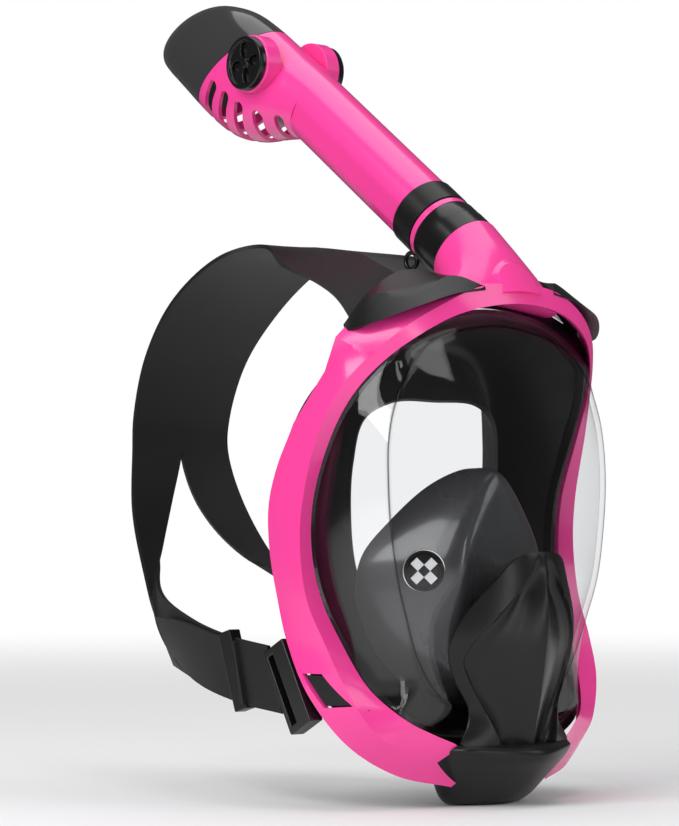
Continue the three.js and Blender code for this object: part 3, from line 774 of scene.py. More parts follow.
# ---- the soft parts ---------------------------------------------------------------------------
@dataclass
class FaceSkirt:
    """The black silicone skirt from the clamp back to the face and in to the face's opening."""

    visor: Visor
    wall: float = 2.4
    seal: tuple = (
        (0, -12, 100), (34, -10, 96), (60, 0, 78), (74, 10, 50), (78, 14, 15), (78, 14, -20),
        (72, 4, -55), (56, -18, -88), (30, -34, -110), (0, -40, -117))
    opening: tuple = (
        (0, -30, 62), (30, -29, 61), (46, -25, 52), (51, -22, 30), (51, -20, 5), (49, -22, -25),
        (44, -32, -52), (34, -44, -74), (17, -52, -84), (0, -54, -88))

    def build(self, shop: Workshop) -> None:
        """Makes the skirt: a smooth surface through its loops, thickened inwards."""
        start = shift(shrink(self.visor.rim(), 0.8), 7.4)
        seal, opening = shift(shrink(ring(self.seal), 3), -3), ring(self.opening)
        mid = shift((start + seal) / 2, 2)
        turn = shift(seal * 0.7 + opening * 0.3, 2.5)
        fold = 0.15 * mid + 0.7 * seal + 0.15 * turn
        rows = spline(np.stack([start, mid, mid * 0.3 + seal * 0.7, fold, seal * 0.4 + turn * 0.6,
                                turn * 0.7 + opening * 0.3, turn * 0.3 + opening * 0.7,
                                opening]), 8)
        inner = rows + normals(rows) * self.wall
        skin = slab_skin(np.swapaxes(rows, 0, 1), np.swapaxes(inner, 0, 1), wrap=True)
        shop.piece("soft_skirt", skin, shop.finishes.skirt, "mask", ("face_skirt",), bevel=0.8,
                   angle=50)


@dataclass
class BreathingCup:
    """The inner cup over nose and mouth, with a round grille and a flap on each side."""

    edge: tuple = (
        (0, -62, 27), (10, -59, 26), (24, -50, 18), (42, -40, 0), (54, -31, -19), (56, -29, -40),
        (50, -36, -66), (34, -45, -86), (16, -52, -94), (0, -53, -97))
    shoulder: tuple = (
        (0, -77.5, 23.5), (8, -78, 18), (18, -78.5, 5), (29, -79, -16), (31, -77, -34),
        (29, -74, -58), (22, -71, -78), (11, -70, -88), (0, -70, -90))
    crown: tuple = (0.0, -80.5, -30.0)
    puff: tuple = (1.2, 1.4)
    flap_radius: float = 8.6
    wall: float = 1.8
    valve: tuple = (37.0, -60.0, -26.0)
    turn: float = 46.0
    tip: float = 6.0
    radius: float = 10.5
    rim: float = 1.4

    def surface(self) -> tuple[Array, Array]:
        """The bowl and its steps: from the edge over the shoulder and in across the front."""
        edge, shoulder = ring(self.edge, 160), ring(self.shoulder, 160)
        crown = np.array(self.crown)
        side = [edge + (shoulder - edge) * t for t in (0.0, 0.3, 0.62, 0.9)]
        side[1], side[2] = shrink(side[1], -self.puff[0]), shrink(side[2], -self.puff[1])
        front = [shift(shoulder + (crown - shoulder) * t, -0.6 * t) for t in (0.1, 0.45, 0.98)]
        rows = spline(np.stack(side + front), 9)
        return rows, np.linspace(0, 1, len(rows))

    def valve_frame(self, side: Side) -> tuple[Array, Array]:
        """The turn and place of a valve: its own +Z faces out of the cup."""
        turn = spin("z", side.value * math.radians(self.turn)) @ spin(
            "x", math.radians(90 - self.tip))
        return turn, np.array([side.value * self.valve[0], self.valve[1], self.valve[2]])

    def grille(self) -> Skin:
        """A plate with a raised rim and a short sleeve behind it, before its slots are cut."""
        r, h, top = self.radius, 1.2, 2.1
        return turned([(0.01, -h), (r - 1.6, -h), (r - 1.6, -4.5), (r, -4.5), (r, top),
                       (r - self.rim, top), (r - self.rim - 0.8, h), (0.01, h)], 72)

    def slots(self) -> list[Skin]:
        """Four straight slots round the plate."""
        turns = [spin("z", (i + 0.5) * math.pi / 2) for i in range(4)]
        return [block_skin(4.6, 5.4, 12).moved(turn, turn @ np.array([0, 4.9, 0]))
                for turn in turns]

    def build(self, shop: Workshop) -> None:
        """Makes the cup, its two grilles and its two flaps."""
        rows, steps = self.surface()
        within = np.stack([shift(shrink(loop, self.wall * (1 - 0.8 * smooth(0.8, 0.99, t))),
                                 0.4 + 1.8 * smooth(0.0, 0.25, t)) for loop, t in zip(rows, steps)])
        outer = tube_skin(np.concatenate([rows[::-1], within]))
        holes = []
        for side in Side:
            turn, place = self.valve_frame(side)
            hole = turned([(0.01, -20), (self.radius + 0.4, -20), (self.radius + 0.4, 20),
                           (0.01, 20)], 48)
            holes.append(hole.moved(turn, place))
        shop.piece("nose_cup", outer, shop.finishes.smoke, "mask", ("breathing_cup",),
                   angle=40, cutters=holes)
        for side in Side:
            turn, place = self.valve_frame(side)
            cutters = [s.moved(turn, place) for s in self.slots()]
            shop.piece(f"cup_grille_{side.letter}", self.grille().moved(turn, place),
                       shop.finishes.black, "mask", (f"cup_valve_grille_{side.letter}",),
                       bevel=0.25, cutters=cutters)
            r = self.flap_radius
            flap = turned([(0.01, -2.9), (r - 0.6, -2.9), (r, -2.6), (r, -2.2), (r - 0.6, -1.9),
                           (0.01, -1.9)], 64)
            shop.piece(f"cup_disc_{side.letter}", flap.moved(turn, place), shop.finishes.flap,
                       f"cup_flap_{side.letter}", (f"cup_valve_flap_{side.letter}",))


# ---- the chin ---------------------------------------------------------------------------------
@dataclass
class Chin:
    """The sculpted cover in front of the cup, the drain block under it and its flap."""

    outline: tuple = (
        (0, -108, -16), (15, -106.5, -18.5), (26, -100, -31), (39, -91.5, -48), (44, -87, -60),
        (43.5, -84.5, -70), (39, -84, -82), (32, -85, -95), (33, -88, -104), (38, -88, -113),
        (18, -96, -115), (0, -98, -115.4))
    levels: tuple = (
        (-113.5, 38, -104, -88, -60, -58), (-116, 40, -108, -88, -58, -56),
        (-121, 39, -108.5, -84, -55, -55), (-127, 36, -103, -80, -58, -55),
        (-133, 33, -96, -76, -61, -56), (-138.5, 31, -89, -72, -62, -56),
        (-142, 28.5, -84, -70, -62, -56.5), (-144.6, 25, -79, -68, -62, -58),
        (-145, 23, -77, -67, -62, -59))
    well: float = 12.0
    flap_radius: float = 10.5
    drain_y: float = -72.0
    groove: float = 6.5
    step: float = 0.32
    middle: float = -66.0
    glass: float = -80.0
    seat_bulge: float = 6.5
    front: tuple = (
        (-116, 40, -88.5, -101, 19), (-111, 38, -88, -102, 20), (-104, 34, -87, -103.5, 22.5),
        (-95, 34, -85.5, -105.5, 26.5), (-82, 40, -84.5, -108, 34), (-70, 44, -85, -110, 38.5),
        (-60, 44.5, -87, -111.5, 35), (-48, 40, -91.5, -112, 26), (-31, 27, -100, -111, 12),
        (-18.5, 17, -106, -109.5, 4), (-15, 14, -107, -108.5, 2))

    def cover(self) -> Skin:
        """The cover: its outline drawn in by f, standing on a smooth front.

        The front falls back from the keel to the edge by the share of the half width squared, and
        a scoop each side of the keel sinks by the sine of the way to its sharp rim. Behind the
        outline a wall tapers back to the window.
        """
        loop = ring(self.outline, 240)
        f = np.concatenate([np.linspace(0.01, 0.96, 96), [0.975, 0.99, 1.0]])[:, None]
        x, z = loop[:, 0] * f, self.middle + (loop[:, 2] - self.middle) * f
        height, half, edge, keel, hollow = (np.array(column) for column in zip(*self.front))
        dense = spline(np.stack([height, half, edge, keel, hollow], 1), 12)
        half, edge, keel, hollow = (np.interp(z, dense[:, 0], dense[:, k]) for k in range(1, 5))
        share = np.clip(np.abs(x) / half, 0, 1)
        sunk = np.abs(x) / np.maximum(hollow, 0.5)
        inside = np.sin(math.pi * np.clip(sunk, 0, 1) ** 1.2)
        inside += self.step * smooth(0.4, 0.9, sunk) * (1 - smooth(0.95, 1.02, sunk))
        inside *= smooth(2.0, 18.0, hollow)
        y = keel + (edge - keel) * share**2.0 + self.groove * inside
        rows = np.stack([x, y, z], -1)
        rim = rows[-1]
        deep = np.maximum(self.glass - rim[:, 1], 0)
        seat = np.stack([rim[:, 0] * (1 - 0.028 * deep), rim[:, 1],
                         self.middle + (rim[:, 2] - self.middle) * (1 - 0.01 * deep)], -1)
        seat[:, 1] = self.glass - 0.5 - self.seat_bulge * np.exp(-((seat[:, 0] / 26) ** 2))
        side = [rim + (seat - rim) * t for t in (0.5, 0.8, 1.0)]
        return tube_skin(np.concatenate([rows, [shift(rim, 1.2)], side]))

    def block(self) -> Skin:
        """The drain block: rounded outlines stacked down to the flat it stands on."""
        loops = []
        for z, w, front, corner, flank, back in self.levels:
            half = [(0, front, z), (w * 0.6, front * 0.62 + corner * 0.38, z), (w, corner, z),
                    (w * 0.98, flank, z), (w * 0.6, back, z), (0, back, z)]
            loops.append(ring(half, 120))
        return tube_skin(spline(np.stack(loops), 6))

    def build(self, shop: Workshop) -> None:
        """Makes the cover, the drain block and the flap."""
        shop.piece("chin_shell", self.cover(), shop.finishes.black, "mask", ("chin_cover",),
                   bevel=0.7, angle=45)
        well = turned([(0.01, -138), (self.well, -138), (self.well, -130), (0.01, -130)], 64)
        cutters = [well.moved(None, (0, self.drain_y, 0))]
        cutters += [block_skin(3, 9, 30).moved(None, (x, -67.5, -138))
                    for x in (-9.6, -3.2, 3.2, 9.6)]
        shop.piece("drain_housing", self.block(), shop.finishes.black, "mask",
                   ("chin_drain_block",), bevel=0.6, angle=40, cutters=cutters)
        r = self.flap_radius
        flap = turned([(0.01, -134.7), (r - 0.6, -134.7), (r, -134.3), (r, -133.7),
                       (r - 0.6, -133.3), (0.01, -133.3)], 64)
        shop.piece("drain_disc", flap.moved(None, (0, self.drain_y, 0)), shop.finishes.smoke,
                   "chin_flap", ("chin_drain_flap",))


# ---- the snorkel ------------------------------------------------------------------------------
@dataclass
class SnorkelLine:
    """The tube's own frame: +Z runs up the tube, +Y is its underside."""

    joint: tuple = (0.0, -21.0, 163.7)
    tilt: float = math.radians(53)

    def place(self, skin: Skin) -> Skin:
        """Brings a skin from the tube's frame into the mask's."""
        return skin.moved(spin("x", -self.tilt), self.joint)

    def point(self, local: Array) -> Array:
        """Brings points from the tube's frame into the mask's."""
        return np.asarray(local, float) @ spin("x", -self.tilt).T + np.array(self.joint)


@dataclass
class TwistLock:
    """The collars, the pink lock ring and the seal that hold the tube, and the socket's neck."""

    line: SnorkelLine
    bore: float = 13.0
    neck_radius: float = 20.2
    neck_top: float = -40.4
    foot: tuple = (44.0, 25.0)
    foot_place: tuple = (-70.0, 117.0)
    foot_sag: float = 0.0052
    lean: tuple = ((-9.0, -7.0, 0.3), (-9.0, -4.0, 0.68))
    panel_rise: float = 1.5
    panel_half: float = 13.5
    panel_top: float = 133.2

    def neck(self) -> Skin:
        """Loops from the round socket to the frame's brow, with an arched panel raised in front."""
        a = np.linspace(0, 2 * math.pi, 288, endpoint=False)
        round_top = self.line.point(np.column_stack([
            self.neck_radius * np.cos(a), self.neck_radius * np.sin(a),
            np.full(len(a), self.neck_top)]))
        x = self.foot[0] * np.cos(a)
        base = np.column_stack([x, self.foot_place[0] + self.foot[1] * np.sin(a),
                                self.foot_place[1] - self.foot_sag * x**2])
        between = []
        for back, up, share in self.lean:
            moved = shift(round_top, back, up)
            between.append(moved + (base - moved) * share)
        rows = spline(np.stack([round_top, *between, base]), 30)
        x, y, z = np.moveaxis(rows, -1, 0)
        panel = (smooth(self.panel_half + 0.7, self.panel_half - 0.7, np.abs(x))
                 * smooth(self.panel_top + 0.8, self.panel_top - 0.8, z + 0.04 * x**2))
        rows[..., 1] -= self.panel_rise * panel * smooth(-70, -78, y)
        return tube_skin(rows)

    def build(self, shop: Workshop) -> None:
        """Makes the neck, the collars, the ring, the seal and the tether's loop."""
        black, pink = shop.finishes.black, shop.finishes.pink
        shop.piece("socket_neck", self.neck(), pink, "mask", ("snorkel_socket",), angle=40)
        lower = [(17.6, -40), (20.0, -40), (20.0, -29.8), (19.75, -29.5), (19.75, -21.2),
                 (19.2, -19.6), (17.6, -19.6)]
        shop.piece("lower_collar", self.line.place(turned(lower)), shop.finishes.gloss_black,
                   "mask", ("socket_collar",), bevel=0.3)
        shop.piece("twist_ring", self.line.place(turned(
            [(17.4, -19.2), (19, -19.2), (19, -15.6), (17.4, -15.6)])), pink, "lock_ring_body",
            ("lock_ring",), bevel=0.4)
        upper = [(self.bore, -34), (15.6, -34), (15.6, -15.2), (19.6, -15.2), (19.6, -0.2),
                 (19.4, 0), (self.bore, 0)]
        shop.piece("upper_collar", self.line.place(turned(upper)), black, "snorkel",
                   ("tube_collar",), bevel=0.35)
        a = np.linspace(0, 2 * math.pi, 24, endpoint=False)
        seal = np.column_stack([16.55 + 0.6 * np.cos(a), -28 + 0.6 * np.sin(a)])
        shop.piece("seal_ring", self.line.place(turned(seal)), shop.finishes.smoke, "snorkel",
                   ("spigot_seal",))
        loop = np.column_stack([4.4 + 1.3 * np.cos(a), 1.3 * np.sin(a)])
        eye = turned(loop, 48).moved(spin("y", math.pi / 2), (0, 25.9, -8))
        shop.piece("loop_eye", self.line.place(eye), black, "snorkel", ("tether_loop",))


@dataclass
class SnorkelTube:
    """The pink tube with a flat along each side, and the divider inside it."""

    line: SnorkelLine
    radius: float = 18.7
    wall: float = 2.2
    length: float = 104.0
    flat_angle: float = 171.0
    flat_share: float = 0.945

    def outline(self, inset: float = 0.0, count: int = 160) -> Array:
        """The section: a circle cut by a flat on each side, as the least of their radii."""
        a = np.linspace(0, 2 * math.pi, count, endpoint=False)
        r = np.full(count, self.radius)
        for facing in (self.flat_angle, 180 - self.flat_angle):
            lean = np.cos(a - math.radians(facing))
            reach = self.radius * self.flat_share / np.maximum(lean, 0.2)
            r = np.minimum(r, reach)
        r -= inset
        return np.column_stack([r * np.cos(a), r * np.sin(a)])

    def build(self, shop: Workshop) -> None:
        """Makes the tube and the divider."""
        s = np.linspace(0.3, self.length + 0.4, 20)
        outer, inner = self.outline(), self.outline(self.wall)

        def rows(section: Array, places: Array) -> Array:
            """The section repeated along the tube."""
            return np.stack([np.column_stack([section, np.full(len(section), v)]) for v in places])

        grid = np.concatenate([rows(outer, s), rows(inner, s[::-1])])
        shop.piece("main_tube", self.line.place(tube_skin(grid, joined=True)),
                   shop.finishes.pink, "snorkel", ("snorkel_tube",), angle=13)
        divider = block_skin(1.6, 2 * (self.radius - self.wall) - 1.4, 96).moved(None, (0, 0, 50))
        shop.piece("air_divider", self.line.place(divider), shop.finishes.smoke, "snorkel",
                   ("tube_divider",), bevel=0.3)


@dataclass
class DryTop:
    """The head of the snorkel: slotted cage, smoked dome, side wheels and the float."""

    line: SnorkelLine
    sections: tuple = (
        (104.4, 18.7, 18.7, 0.0), (118, 20.5, 23, 4.5), (134, 23, 28.5, 10.5), (150, 24, 32, 14),
        (168, 24, 33, 15.5), (186, 23.5, 32, 16.5), (200, 22.3, 29.5, 18.5),
        (212, 20, 26.3, 21.5), (223, 16.3, 21.3, 26.5), (232, 11, 14.5, 32.5),
        (237, 5.5, 7.2, 36.2), (238.4, 0.6, 0.8, 37.6))
    wall: float = 2.2
    split: float = 166.5
    lean: float = 0.346
    slots: tuple = ((113, 10.5, -0.22), (127.5, 16.5, -0.2), (141.5, 19.5, -0.1),
                    (154, 20.5, 0.05), (166, 21, 0.2))
    slot_width: float = 7.4
    wheel_place: tuple = (143.0, -4.0)
    wheel_radius: float = 15.0
    wheel_faces: tuple = (27.1, 31.1)
    pocket: tuple = (7.4, 1.6, 2.6, 2.8)
    float_rows: tuple = (
        (124, 3.2, 3.2), (124, 11, 11), (125.4, 13.6, 14), (129, 16, 17), (144, 16, 17),
        (147, 13.4, 14.4), (148, 11, 12), (148, 3.2, 3.2))
    float_drop: float = 9.0

    def shape(self, s: Array, a: Array, inset: float = 0.0) -> Array:
        """A point of the head at a place along it and an angle round it.

        The half width, half height and drop are cubics through the sections.
        """
        table = spline(np.array(self.sections), 24)
        width, height, drop = (np.interp(s, table[:, 0], table[:, k]) for k in (1, 2, 3))
        return np.stack([np.maximum(width - inset, 0.3) * np.cos(a),
                         drop + np.maximum(height - inset, 0.3) * np.sin(a), s], -1)

    def boundary(self, a: Array, inset: float = 0.0) -> Array:
        """Where the slanted split crosses the head at each angle, found by repeated passes."""
        s = np.full_like(a, self.split)
        for _ in range(12):
            s = self.split + math.tan(self.lean) * self.shape(s, a, inset)[..., 1]
        return s

    def cage(self) -> Skin:
        """The cage's wall from the tube to the split."""
        a = np.linspace(0, 2 * math.pi, 160, endpoint=False)
        t = np.linspace(0, 1, 56)[:, None]
        grids = []
        for inset in (0.0, self.wall):
            end = self.boundary(a, inset) - 0.25
            s = self.sections[0][0] + (end - self.sections[0][0]) * t
            grids.append(self.shape(s, np.broadcast_to(a, s.shape), inset))
        return tube_skin(np.concatenate([grids[0], grids[1][::-1]]), joined=True)

    def dome(self) -> Skin:
        """The smoked cap from the split to the tip, with its rounded end closed."""
        a = np.linspace(0, 2 * math.pi, 160, endpoint=False)
        t = (1 - (1 - np.linspace(0, 1, 48)) ** 2)[:, None]
        tip = self.sections[-1][0]
        grids = []
        for inset in (0.0, self.wall):
            start = self.boundary(a, inset) + 0.25
            s = start + (tip - inset - start) * t
            grids.append(self.shape(s, np.broadcast_to(a, s.shape), inset))
        outer, inner = grids
        rows = np.concatenate([outer[::-1], inner])
        return tube_skin(rows)

    def wheel(self, side: Side) -> Skin:
        """A wheel: its outer face has a raised rim, a hub and four straight pockets."""
        near, far = self.wheel_faces
        centre, reach, half, depth = self.pocket
        r = np.linspace(0.02, 1, 80)[:, None] * self.wheel_radius
        a = np.linspace(0, 2 * math.pi, 288, endpoint=False)[None, :]
        u, v = r * np.cos(a), r * np.sin(a)
        floor = 1.3 * smooth(12.9, 12.2, r) * smooth(2.4, 3.2, r)
        pocket = np.zeros_like(u)
        for i in range(4):
            turn = math.pi / 4 + i * math.pi / 2
            p, q = u * math.cos(turn) + v * math.sin(turn), v * math.cos(turn) - u * math.sin(turn)
            away = np.hypot(np.maximum(np.abs(p - centre) - reach, 0), q)
            pocket = np.maximum(pocket, smooth(half + 0.3, half - 0.3, away))
        edge = 0.8 * smooth(self.wheel_radius - 0.9, self.wheel_radius, r) ** 2
        x = far - floor - depth * pocket - edge
        y, s = self.wheel_place[1] + u, self.wheel_place[0] + v
        face = np.stack([x, y, s], -1)
        rim = face[-1].copy()
        rim[:, 0] = near
        grid = np.concatenate([face, rim[None]])
        return mirror_x(tube_skin(grid), side)

    def boss(self, side: Side) -> Skin:
        """The pink boss behind a wheel."""
        profile = [(0.01, 17.0), (16.0, 17.0), (16.0, 26.0), (15.4, 26.7), (0.01, 26.7)]
        s, y = self.wheel_place
        made = turned(profile, 96).moved(spin("y", math.pi / 2), (0, y, s))
        return mirror_x(made, side)

    def slot_tools(self) -> list[Skin]:
        """Rounded bars that open the slots in the cage's underside."""
        tools = []
        for s, start, tilt in self.slots:
            w = self.slot_width / 2
            a = np.linspace(0, 2 * math.pi, 20, endpoint=False)
            y = np.where(np.cos(a) > 0, 50.0, 3.0 - 3.0 * np.abs(np.cos(a)))
            lines = [np.column_stack([np.full(len(a), x), y, w * np.sin(a)])
                     for x in (-34.0, 34.0)]
            bar = tube_skin(np.stack(lines))
            tools.append(bar.moved(spin("x", tilt), (0, start, s)))
        return tools

    def build(self, shop: Workshop) -> None:
        """Makes every piece of the head."""
        place = self.line.place
        cage = place(self.cage())
        shop.piece("vent_cage", cage, shop.finishes.pink, "snorkel", ("vent_head",), bevel=0.5,
                   angle=38, cutters=[place(t) for t in self.slot_tools()])
        for side in Side:
            shop.piece(f"wheel_boss_{side.letter}", place(self.boss(side)), shop.finishes.pink,
                       "snorkel", (), bevel=0.3)
        shop.piece("dome_cap", place(self.dome()), shop.finishes.dome, "snorkel", ("cap_dome",),
                   angle=50)
        for side in Side:
            shop.piece(f"side_wheel_{side.letter}", place(self.wheel(side)),
                       shop.finishes.gloss_black, "snorkel", (f"vent_disc_{side.letter}",),
                       angle=60)
        a = np.linspace(0, 2 * math.pi, 80, endpoint=False)
        body = np.stack([np.column_stack([w * np.cos(a), self.float_drop + h * np.sin(a),
                                          np.full(len(a), s)]) for s, w, h in self.float_rows])
        shop.piece("float_body", place(tube_skin(body, joined=True)), shop.finishes.foam, "float",
                   ("dry_top_float",), bevel=0.4)
        plate = turned([(0.01, 107.5), (15.6, 107.5), (15.6, 110.5), (0.01, 110.5)])
        post = turned([(0.01, 109), (2.4, 109), (2.4, 164), (1.8, 165), (0.01, 165)], 40)
        foot = block_skin(4, 4, 14).moved(None, (0, self.float_drop, 115))
        guide = plate + post.moved(None, (0, self.float_drop, 0)) + foot
        shop.piece("float_post", place(guide), shop.finishes.smoke, "snorkel", ("float_guide",),
                   bevel=0.2)


# ---- straps and fittings ----------------------------------------------------------------------
@dataclass
class HeadStrap:
    """One strap: two arms each side run into a broad band behind the head."""

    thickness: float = 2.2
    per_span: int = 10
    upper: tuple = (
        (60, -51, 110.5, 14, 2, -14), (52, -27, 123, 12, 3, -9.5), (41, 1, 132.5, 11, 5, -7.5),
        (24, 46, 142.5, 14, 5, -4))
    back: tuple = (
        (0, 74, 150, 30), (0, 100, 146, 38), (0, 140, 124, 40), (0, 169, 93, 37),
        (0, 182, 60, 35), (0, 183, 40, 35))
    lower: tuple = (
        (26, 177, 8, 16, -3, -2), (40, 158, -24, 12, -8, -7), (62, 124, -50, 6, -8, -12),
        (82, 72, -68, 2, -4, -16), (94, 22, -77, 0, -4, -17), (97, -14, -81, 0, -6, -17))
    tail: tuple = (
        (97.2, 14, -78.5, 0, -4, -16), (92, 42, -74, 1, -4, -15.5),
        (83.5, 74, -68.5, 1, -5.5, -14.5), (74, 104.5, -65, 0, -8.3, -13))

    def seam(self) -> slice:
        """The rows of the half where it meets its mirror image behind the head."""
        first = len(self.upper) * self.per_span
        return slice(first, first + (len(self.back) - 1) * self.per_span + 1)

    def half(self) -> Array:
        """The wearer's left half: rows from the inner edge to the outer edge along the strap."""

        def edges(row: tuple) -> tuple[Array, Array]:
            """Both edges of an arm at one of its rows."""
            middle, across = np.array(row[:3], float), np.array(row[3:], float)
            return middle - across, middle + across

        inner, outer = [], []
        for row in self.upper:
            near, far = edges(row)
            inner.append(near)
            outer.append(far)
        for x, y, z, w in self.back:
            inner.append(np.array([0.0, y, z]))
            outer.append(np.array([x + w, y, z]))
        for row in self.lower:
            near, far = edges(row)
            inner.append(near)
            outer.append(far)
        near, far = (spline(np.array(side), self.per_span) for side in (inner, outer))
        near[:, 0] = np.maximum(near[:, 0], 0)
        near[self.seam(), 0] = 0
        t = np.linspace(0, 1, 13)[None, :, None]
        return near[:, None] * (1 - t) + far[:, None] * t

    def loose_end(self) -> Array:
        """The strap's cut end, doubled back over the lower arm from its keeper."""
        rows = np.array(self.tail, float)
        near, far = spline(rows[:, :3] - rows[:, 3:], 8), spline(rows[:, :3] + rows[:, 3:], 8)
        t = np.linspace(0, 1, 13)[None, :, None]
        return near[:, None] * (1 - t) + far[:, None] * t

    def band(self, grid: Array, seam: slice | None) -> tuple[Skin, Array]:
        """A band of the strap's thickness about a grid, with its map in metres.

        Args:
            grid: The band's middle surface.
            seam: The rows whose first column lies on the middle plane.

        Returns:
            The skin, and for each vertex the length along the band and the distance across it.
        """
        n = normals(grid, wrap=False)
        if seam:
            n[seam, 0, 0] = 0
            n /= np.linalg.norm(n, axis=2, keepdims=True)
        skin = slab_skin(grid + n * self.thickness / 2, grid - n * self.thickness / 2)
        run = np.concatenate([[0], np.cumsum(np.linalg.norm(np.diff(grid[:, 6], axis=0), axis=1))])
        wide = np.linalg.norm(grid[:, -1] - grid[:, 0], axis=1)
        columns = grid.shape[1]
        one = np.stack([np.repeat(run[:, None], columns, 1),
                        wide[:, None] * np.linspace(0, 1, columns)[None, :]], -1).reshape(-1, 2)
        return skin, np.concatenate([one, one]) * MM

    def build(self, shop: Workshop) -> None:
        """Makes the strap: the half, its cut end, and the mirror image of both."""
        half, half_map = self.band(self.half(), self.seam())
        tail, tail_map = self.band(self.loose_end(), None)
        left = half + tail
        strap = left + mirror_x(left, Side.RIGHT)
        made = shop.piece("head_strap", strap, shop.finishes.strap, "mask", (
            "strap_back", "strap_upper_arm_R", "strap_upper_arm_L", "strap_lower_arm_R",
            "strap_lower_arm_L"), bevel=0.35, angle=50)
        every = np.concatenate([half_map, tail_map, half_map, tail_map])
        corner = np.zeros(len(made.data.loops), int)
        made.data.loops.foreach_get("vertex_index", corner)
        layer = made.data.uv_layers.new(name="UVMap")
        layer.data.foreach_set("uv", every[corner].ravel())


@dataclass
class StrapFittings:
    """The brow clips, the buckles with their keys, and the keepers on the lower arms."""

    frame_shape: MaskFrame
    clip_back: tuple = ((84, -50.5, 98.5), (71, -54.5, 115), (47, -56, 128), (34, -75, 124.5),
                        (25, -91.5, 119))
    clip_ridge: tuple = ((86, -53, 98), (74, -60.5, 113.5), (62, -77, 114), (37, -82, 124),
                         (25, -92.5, 118.6))
    clip_front: tuple = ((86, -56, 95.5), (83.5, -67.5, 97.5), (63.5, -87, 107.5),
                         (43.5, -91, 114), (25, -93, 117))
    key_lean: float = 0.36
    buckle: tuple = (95.5, -25.0, -84.0)
    buckle_size: tuple = (9.0, 17.0, 46.0)
    buckle_tilt: float = -0.5
    buckle_gap: tuple = (20.0, 4.2, 38.0)
    keeper: tuple = (94.2, 20.0, -77.6)
    keeper_size: tuple = (8.0, 9.0, 42.0)
    keeper_turn: tuple = (-0.09, -0.3)
    clip_underside: tuple = (-4.0, 3.0, -8.0)

    def clip(self) -> Skin:
        """A wedge between three curves, with its underside drawn in below them."""
        back, ridge, front = (spline(np.array(c, float), 8) for c in (
            self.clip_back, self.clip_ridge, self.clip_front))
        base = (back + front) / 2 + np.array(self.clip_underside)
        t = np.linspace(0, 1, 5)[:, None, None]
        top = back[None] * (1 - t) + ridge[None] * t
        low = (ridge[None] * (1 - t) + front[None] * t)[1:]
        loops = np.concatenate([top, low, base[None]])
        return tube_skin(np.swapaxes(loops, 0, 1))

    def build(self, shop: Workshop) -> None:
        """Makes the fittings of both sides."""
        for side in Side:
            letter = side.letter
            shop.piece(f"clip_wedge_{letter}", mirror_x(self.clip(), side), shop.finishes.black,
                       "mask", (f"upper_clip_{letter}",), bevel=0.5, angle=24)
            tilt = spin("x", self.buckle_tilt)
            body = mirror_x(block_skin(*self.buckle_size).moved(tilt, self.buckle), side)
            gap = block_skin(*self.buckle_gap).moved(None, (0, 3.6, 0)).moved(tilt, self.buckle)
            shop.piece(f"buckle_frame_{letter}", body, shop.finishes.gloss_black, "mask",
                       (f"lower_buckle_{letter}",), bevel=0.7, angle=24,
                       cutters=[mirror_x(gap, side)])
            key = (self.frame_shape.slot(side, 0.9, 86.0, 93.6, self.key_lean)
                   + self.frame_shape.slot(side, 1.3, 84.0, 87.2, self.key_lean))
            shop.piece(f"push_key_{letter}", key, shop.finishes.gloss_black, f"button_{letter}",
                       (f"release_button_{letter}",), bevel=0.5, angle=24)
            turn = spin("z", self.keeper_turn[0]) @ spin("x", self.keeper_turn[1])
            band = mirror_x(block_skin(*self.keeper_size).moved(turn, self.keeper), side)
            shop.piece(f"band_keeper_{letter}", band, shop.finishes.black, "mask",
                       (f"strap_keeper_{letter}",), bevel=0.8, angle=24)


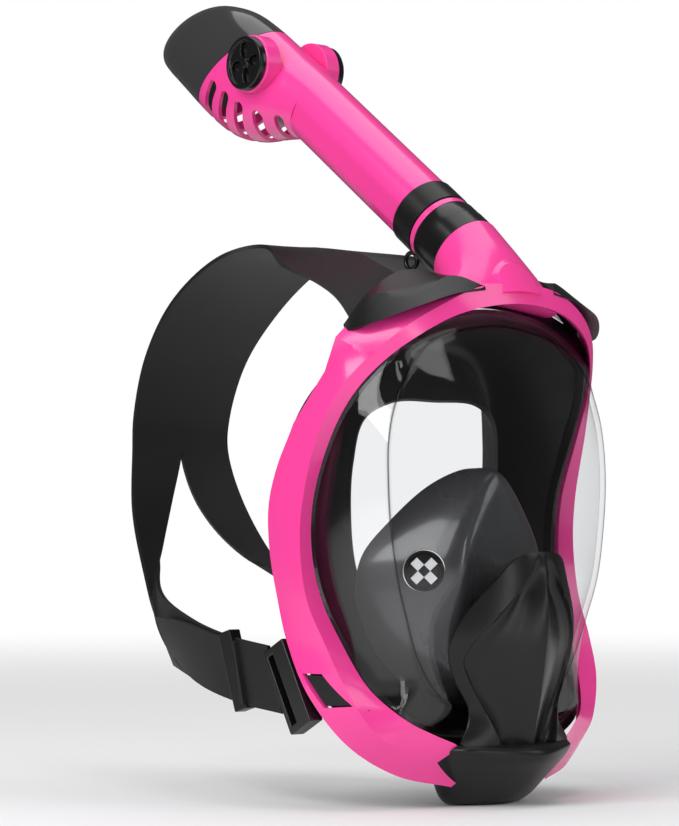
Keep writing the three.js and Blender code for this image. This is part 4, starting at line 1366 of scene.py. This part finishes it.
# ---- the studio -------------------------------------------------------------------------------
@dataclass
class Studio:
    """A pale floor that fades into a white room, soft lights and the camera."""

    camera_place: tuple = (-1.0953, -1.1709, -0.0042)
    look_at: tuple = (-0.0616, -0.0228, 0.0552)
    lens: float = 130.75
    near_clip: float = 0.05
    floor_radius: float = 6.0
    floor_gap: float = 0.0006
    room_light: float = 0.42
    room_gloss: float = 0.08
    lamps: tuple = (
        ("key_left", (-1.7, -0.2, 1.1), (0, 0, 0.05), (1.2, 1.4), 27.0),
        ("top_soft", (0.2, 0.1, 1.9), (0, 0, 0), (1.6, 1.6), 14.0),
        ("front_strip", (-0.5, -1.75, 0.25), (0, -0.08, -0.03), (0.22, 1.3), 4.5),
        ("front_fill", (0.9, -1.7, 0.9), (0, 0, 0), (1.0, 1.0), 6.0))

    def floor(self) -> None:
        """A disc under the mask, seen through towards its edge."""
        lo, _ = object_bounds()
        a = np.linspace(0, 2 * math.pi, 96, endpoint=False)
        r = np.array([1e-5, 0.5, 1, 2, 4, self.floor_radius])[:, None]
        low = np.full((len(r), len(a)), lo[2] - self.floor_gap)
        grid = np.stack([r * np.cos(a), r * np.sin(a), low], -1)
        data = bpy.data.meshes.new("studio_floor")
        faces = quads(len(r), len(a), False, True)[:, ::-1]
        data.from_pydata(grid.reshape(-1, 3).tolist(), [], faces.tolist())
        made = bpy.data.objects.new("studio_floor", data)
        bpy.context.scene.collection.objects.link(made)
        data.materials.append(self.floor_finish())
        made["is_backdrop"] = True

    def floor_finish(self) -> bpy.types.Material:
        """Matte near-white paper whose cover fades with the distance from the middle."""
        r = Recipe("studio_paper")
        grain = r.noise(300.0, 2.0)
        paper = r.node("ShaderNodeBsdfDiffuse", Color=r.mix(grain, (0.80, 0.80, 0.81),
                                                            (0.84, 0.84, 0.85)))
        away = r.node("ShaderNodeVectorMath", {"operation": "LENGTH"}, Vector=r.place)
        clear = r.node("ShaderNodeBsdfTransparent")
        fade = r.node("ShaderNodeMapRange", {"interpolation_type": "SMOOTHSTEP"},
                      Value=away.outputs[1], From_Min=0.35, From_Max=2.6)
        both = r.node("ShaderNodeMixShader")
        r.feed(both, 0, fade.outputs[0])
        r.feed(both, 1, paper.outputs[0])
        r.feed(both, 2, clear.outputs[0])
        return r.finish(both)

    def light(self, name: str, place: tuple, aim: tuple, size: tuple, power: float) -> None:
        """A soft rectangular lamp aimed at a point."""
        data = bpy.data.lights.new(name, "AREA")
        data.shape, data.size, data.size_y, data.energy = "RECTANGLE", size[0], size[1], power
        made = bpy.data.objects.new(name, data)
        made.location = place
        made.rotation_euler = (Vector(aim) - Vector(place)).to_track_quat("-Z", "Y").to_euler()
        bpy.context.scene.collection.objects.link(made)

    def room(self) -> None:
        """A white world, dimmer as light and dimmer still in reflections."""
        world = bpy.data.worlds.new("white_room")
        world.use_nodes = True
        nodes, links = world.node_tree.nodes, world.node_tree.links
        seen = nodes.new("ShaderNodeLightPath")
        strength = nodes.new("ShaderNodeMapRange")
        dim = nodes.new("ShaderNodeMath")
        dim.operation = "MULTIPLY_ADD"
        dim.inputs[1].default_value = self.room_gloss - self.room_light
        dim.inputs[2].default_value = self.room_light
        links.new(seen.outputs["Is Glossy Ray"], dim.inputs[0])
        links.new(dim.outputs[0], strength.inputs["To Min"])
        strength.inputs["To Max"].default_value = 1.0
        links.new(seen.outputs["Is Camera Ray"], strength.inputs["Value"])
        back = nodes["Background"]
        back.inputs[0].default_value = (1.0, 1.0, 1.0, 1.0)
        links.new(strength.outputs[0], back.inputs[1])
        bpy.context.scene.world = world

    def camera(self) -> None:
        """The camera, level and to the wearer's right of the mask's front."""
        data = bpy.data.cameras.new("studio_camera")
        data.lens, data.sensor_width, data.sensor_fit = self.lens, 36.0, "AUTO"
        data.clip_start = self.near_clip
        made = bpy.data.objects.new("studio_camera", data)
        made.location = self.camera_place
        aim = Vector(self.look_at) - Vector(self.camera_place)
        made.rotation_euler = aim.to_track_quat("-Z", "Y").to_euler()
        bpy.context.scene.collection.objects.link(made)
        bpy.context.scene.camera = made

    def build(self) -> None:
        """Sets the studio up."""
        settings = bpy.context.scene.view_settings
        settings.view_transform, settings.look = "Standard", "None"
        self.camera()
        self.floor()
        self.room()
        for lamp in self.lamps:
            self.light(*lamp)


def main() -> None:
    """Builds the studio and every sub-assembly."""
    logging.basicConfig(level=logging.INFO, format="%(name)s: %(message)s")
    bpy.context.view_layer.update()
    Studio().build()
    shop = Workshop()
    frame_shape = MaskFrame()
    visor = Visor(frame_shape)
    line = SnorkelLine()
    for part in (frame_shape, visor, FaceSkirt(visor), BreathingCup(), Chin(),
                 TwistLock(line), SnorkelTube(line), DryTop(line), HeadStrap(),
                 StrapFittings(frame_shape)):
        part.build(shop)


if __name__ == "__main__":
    main()
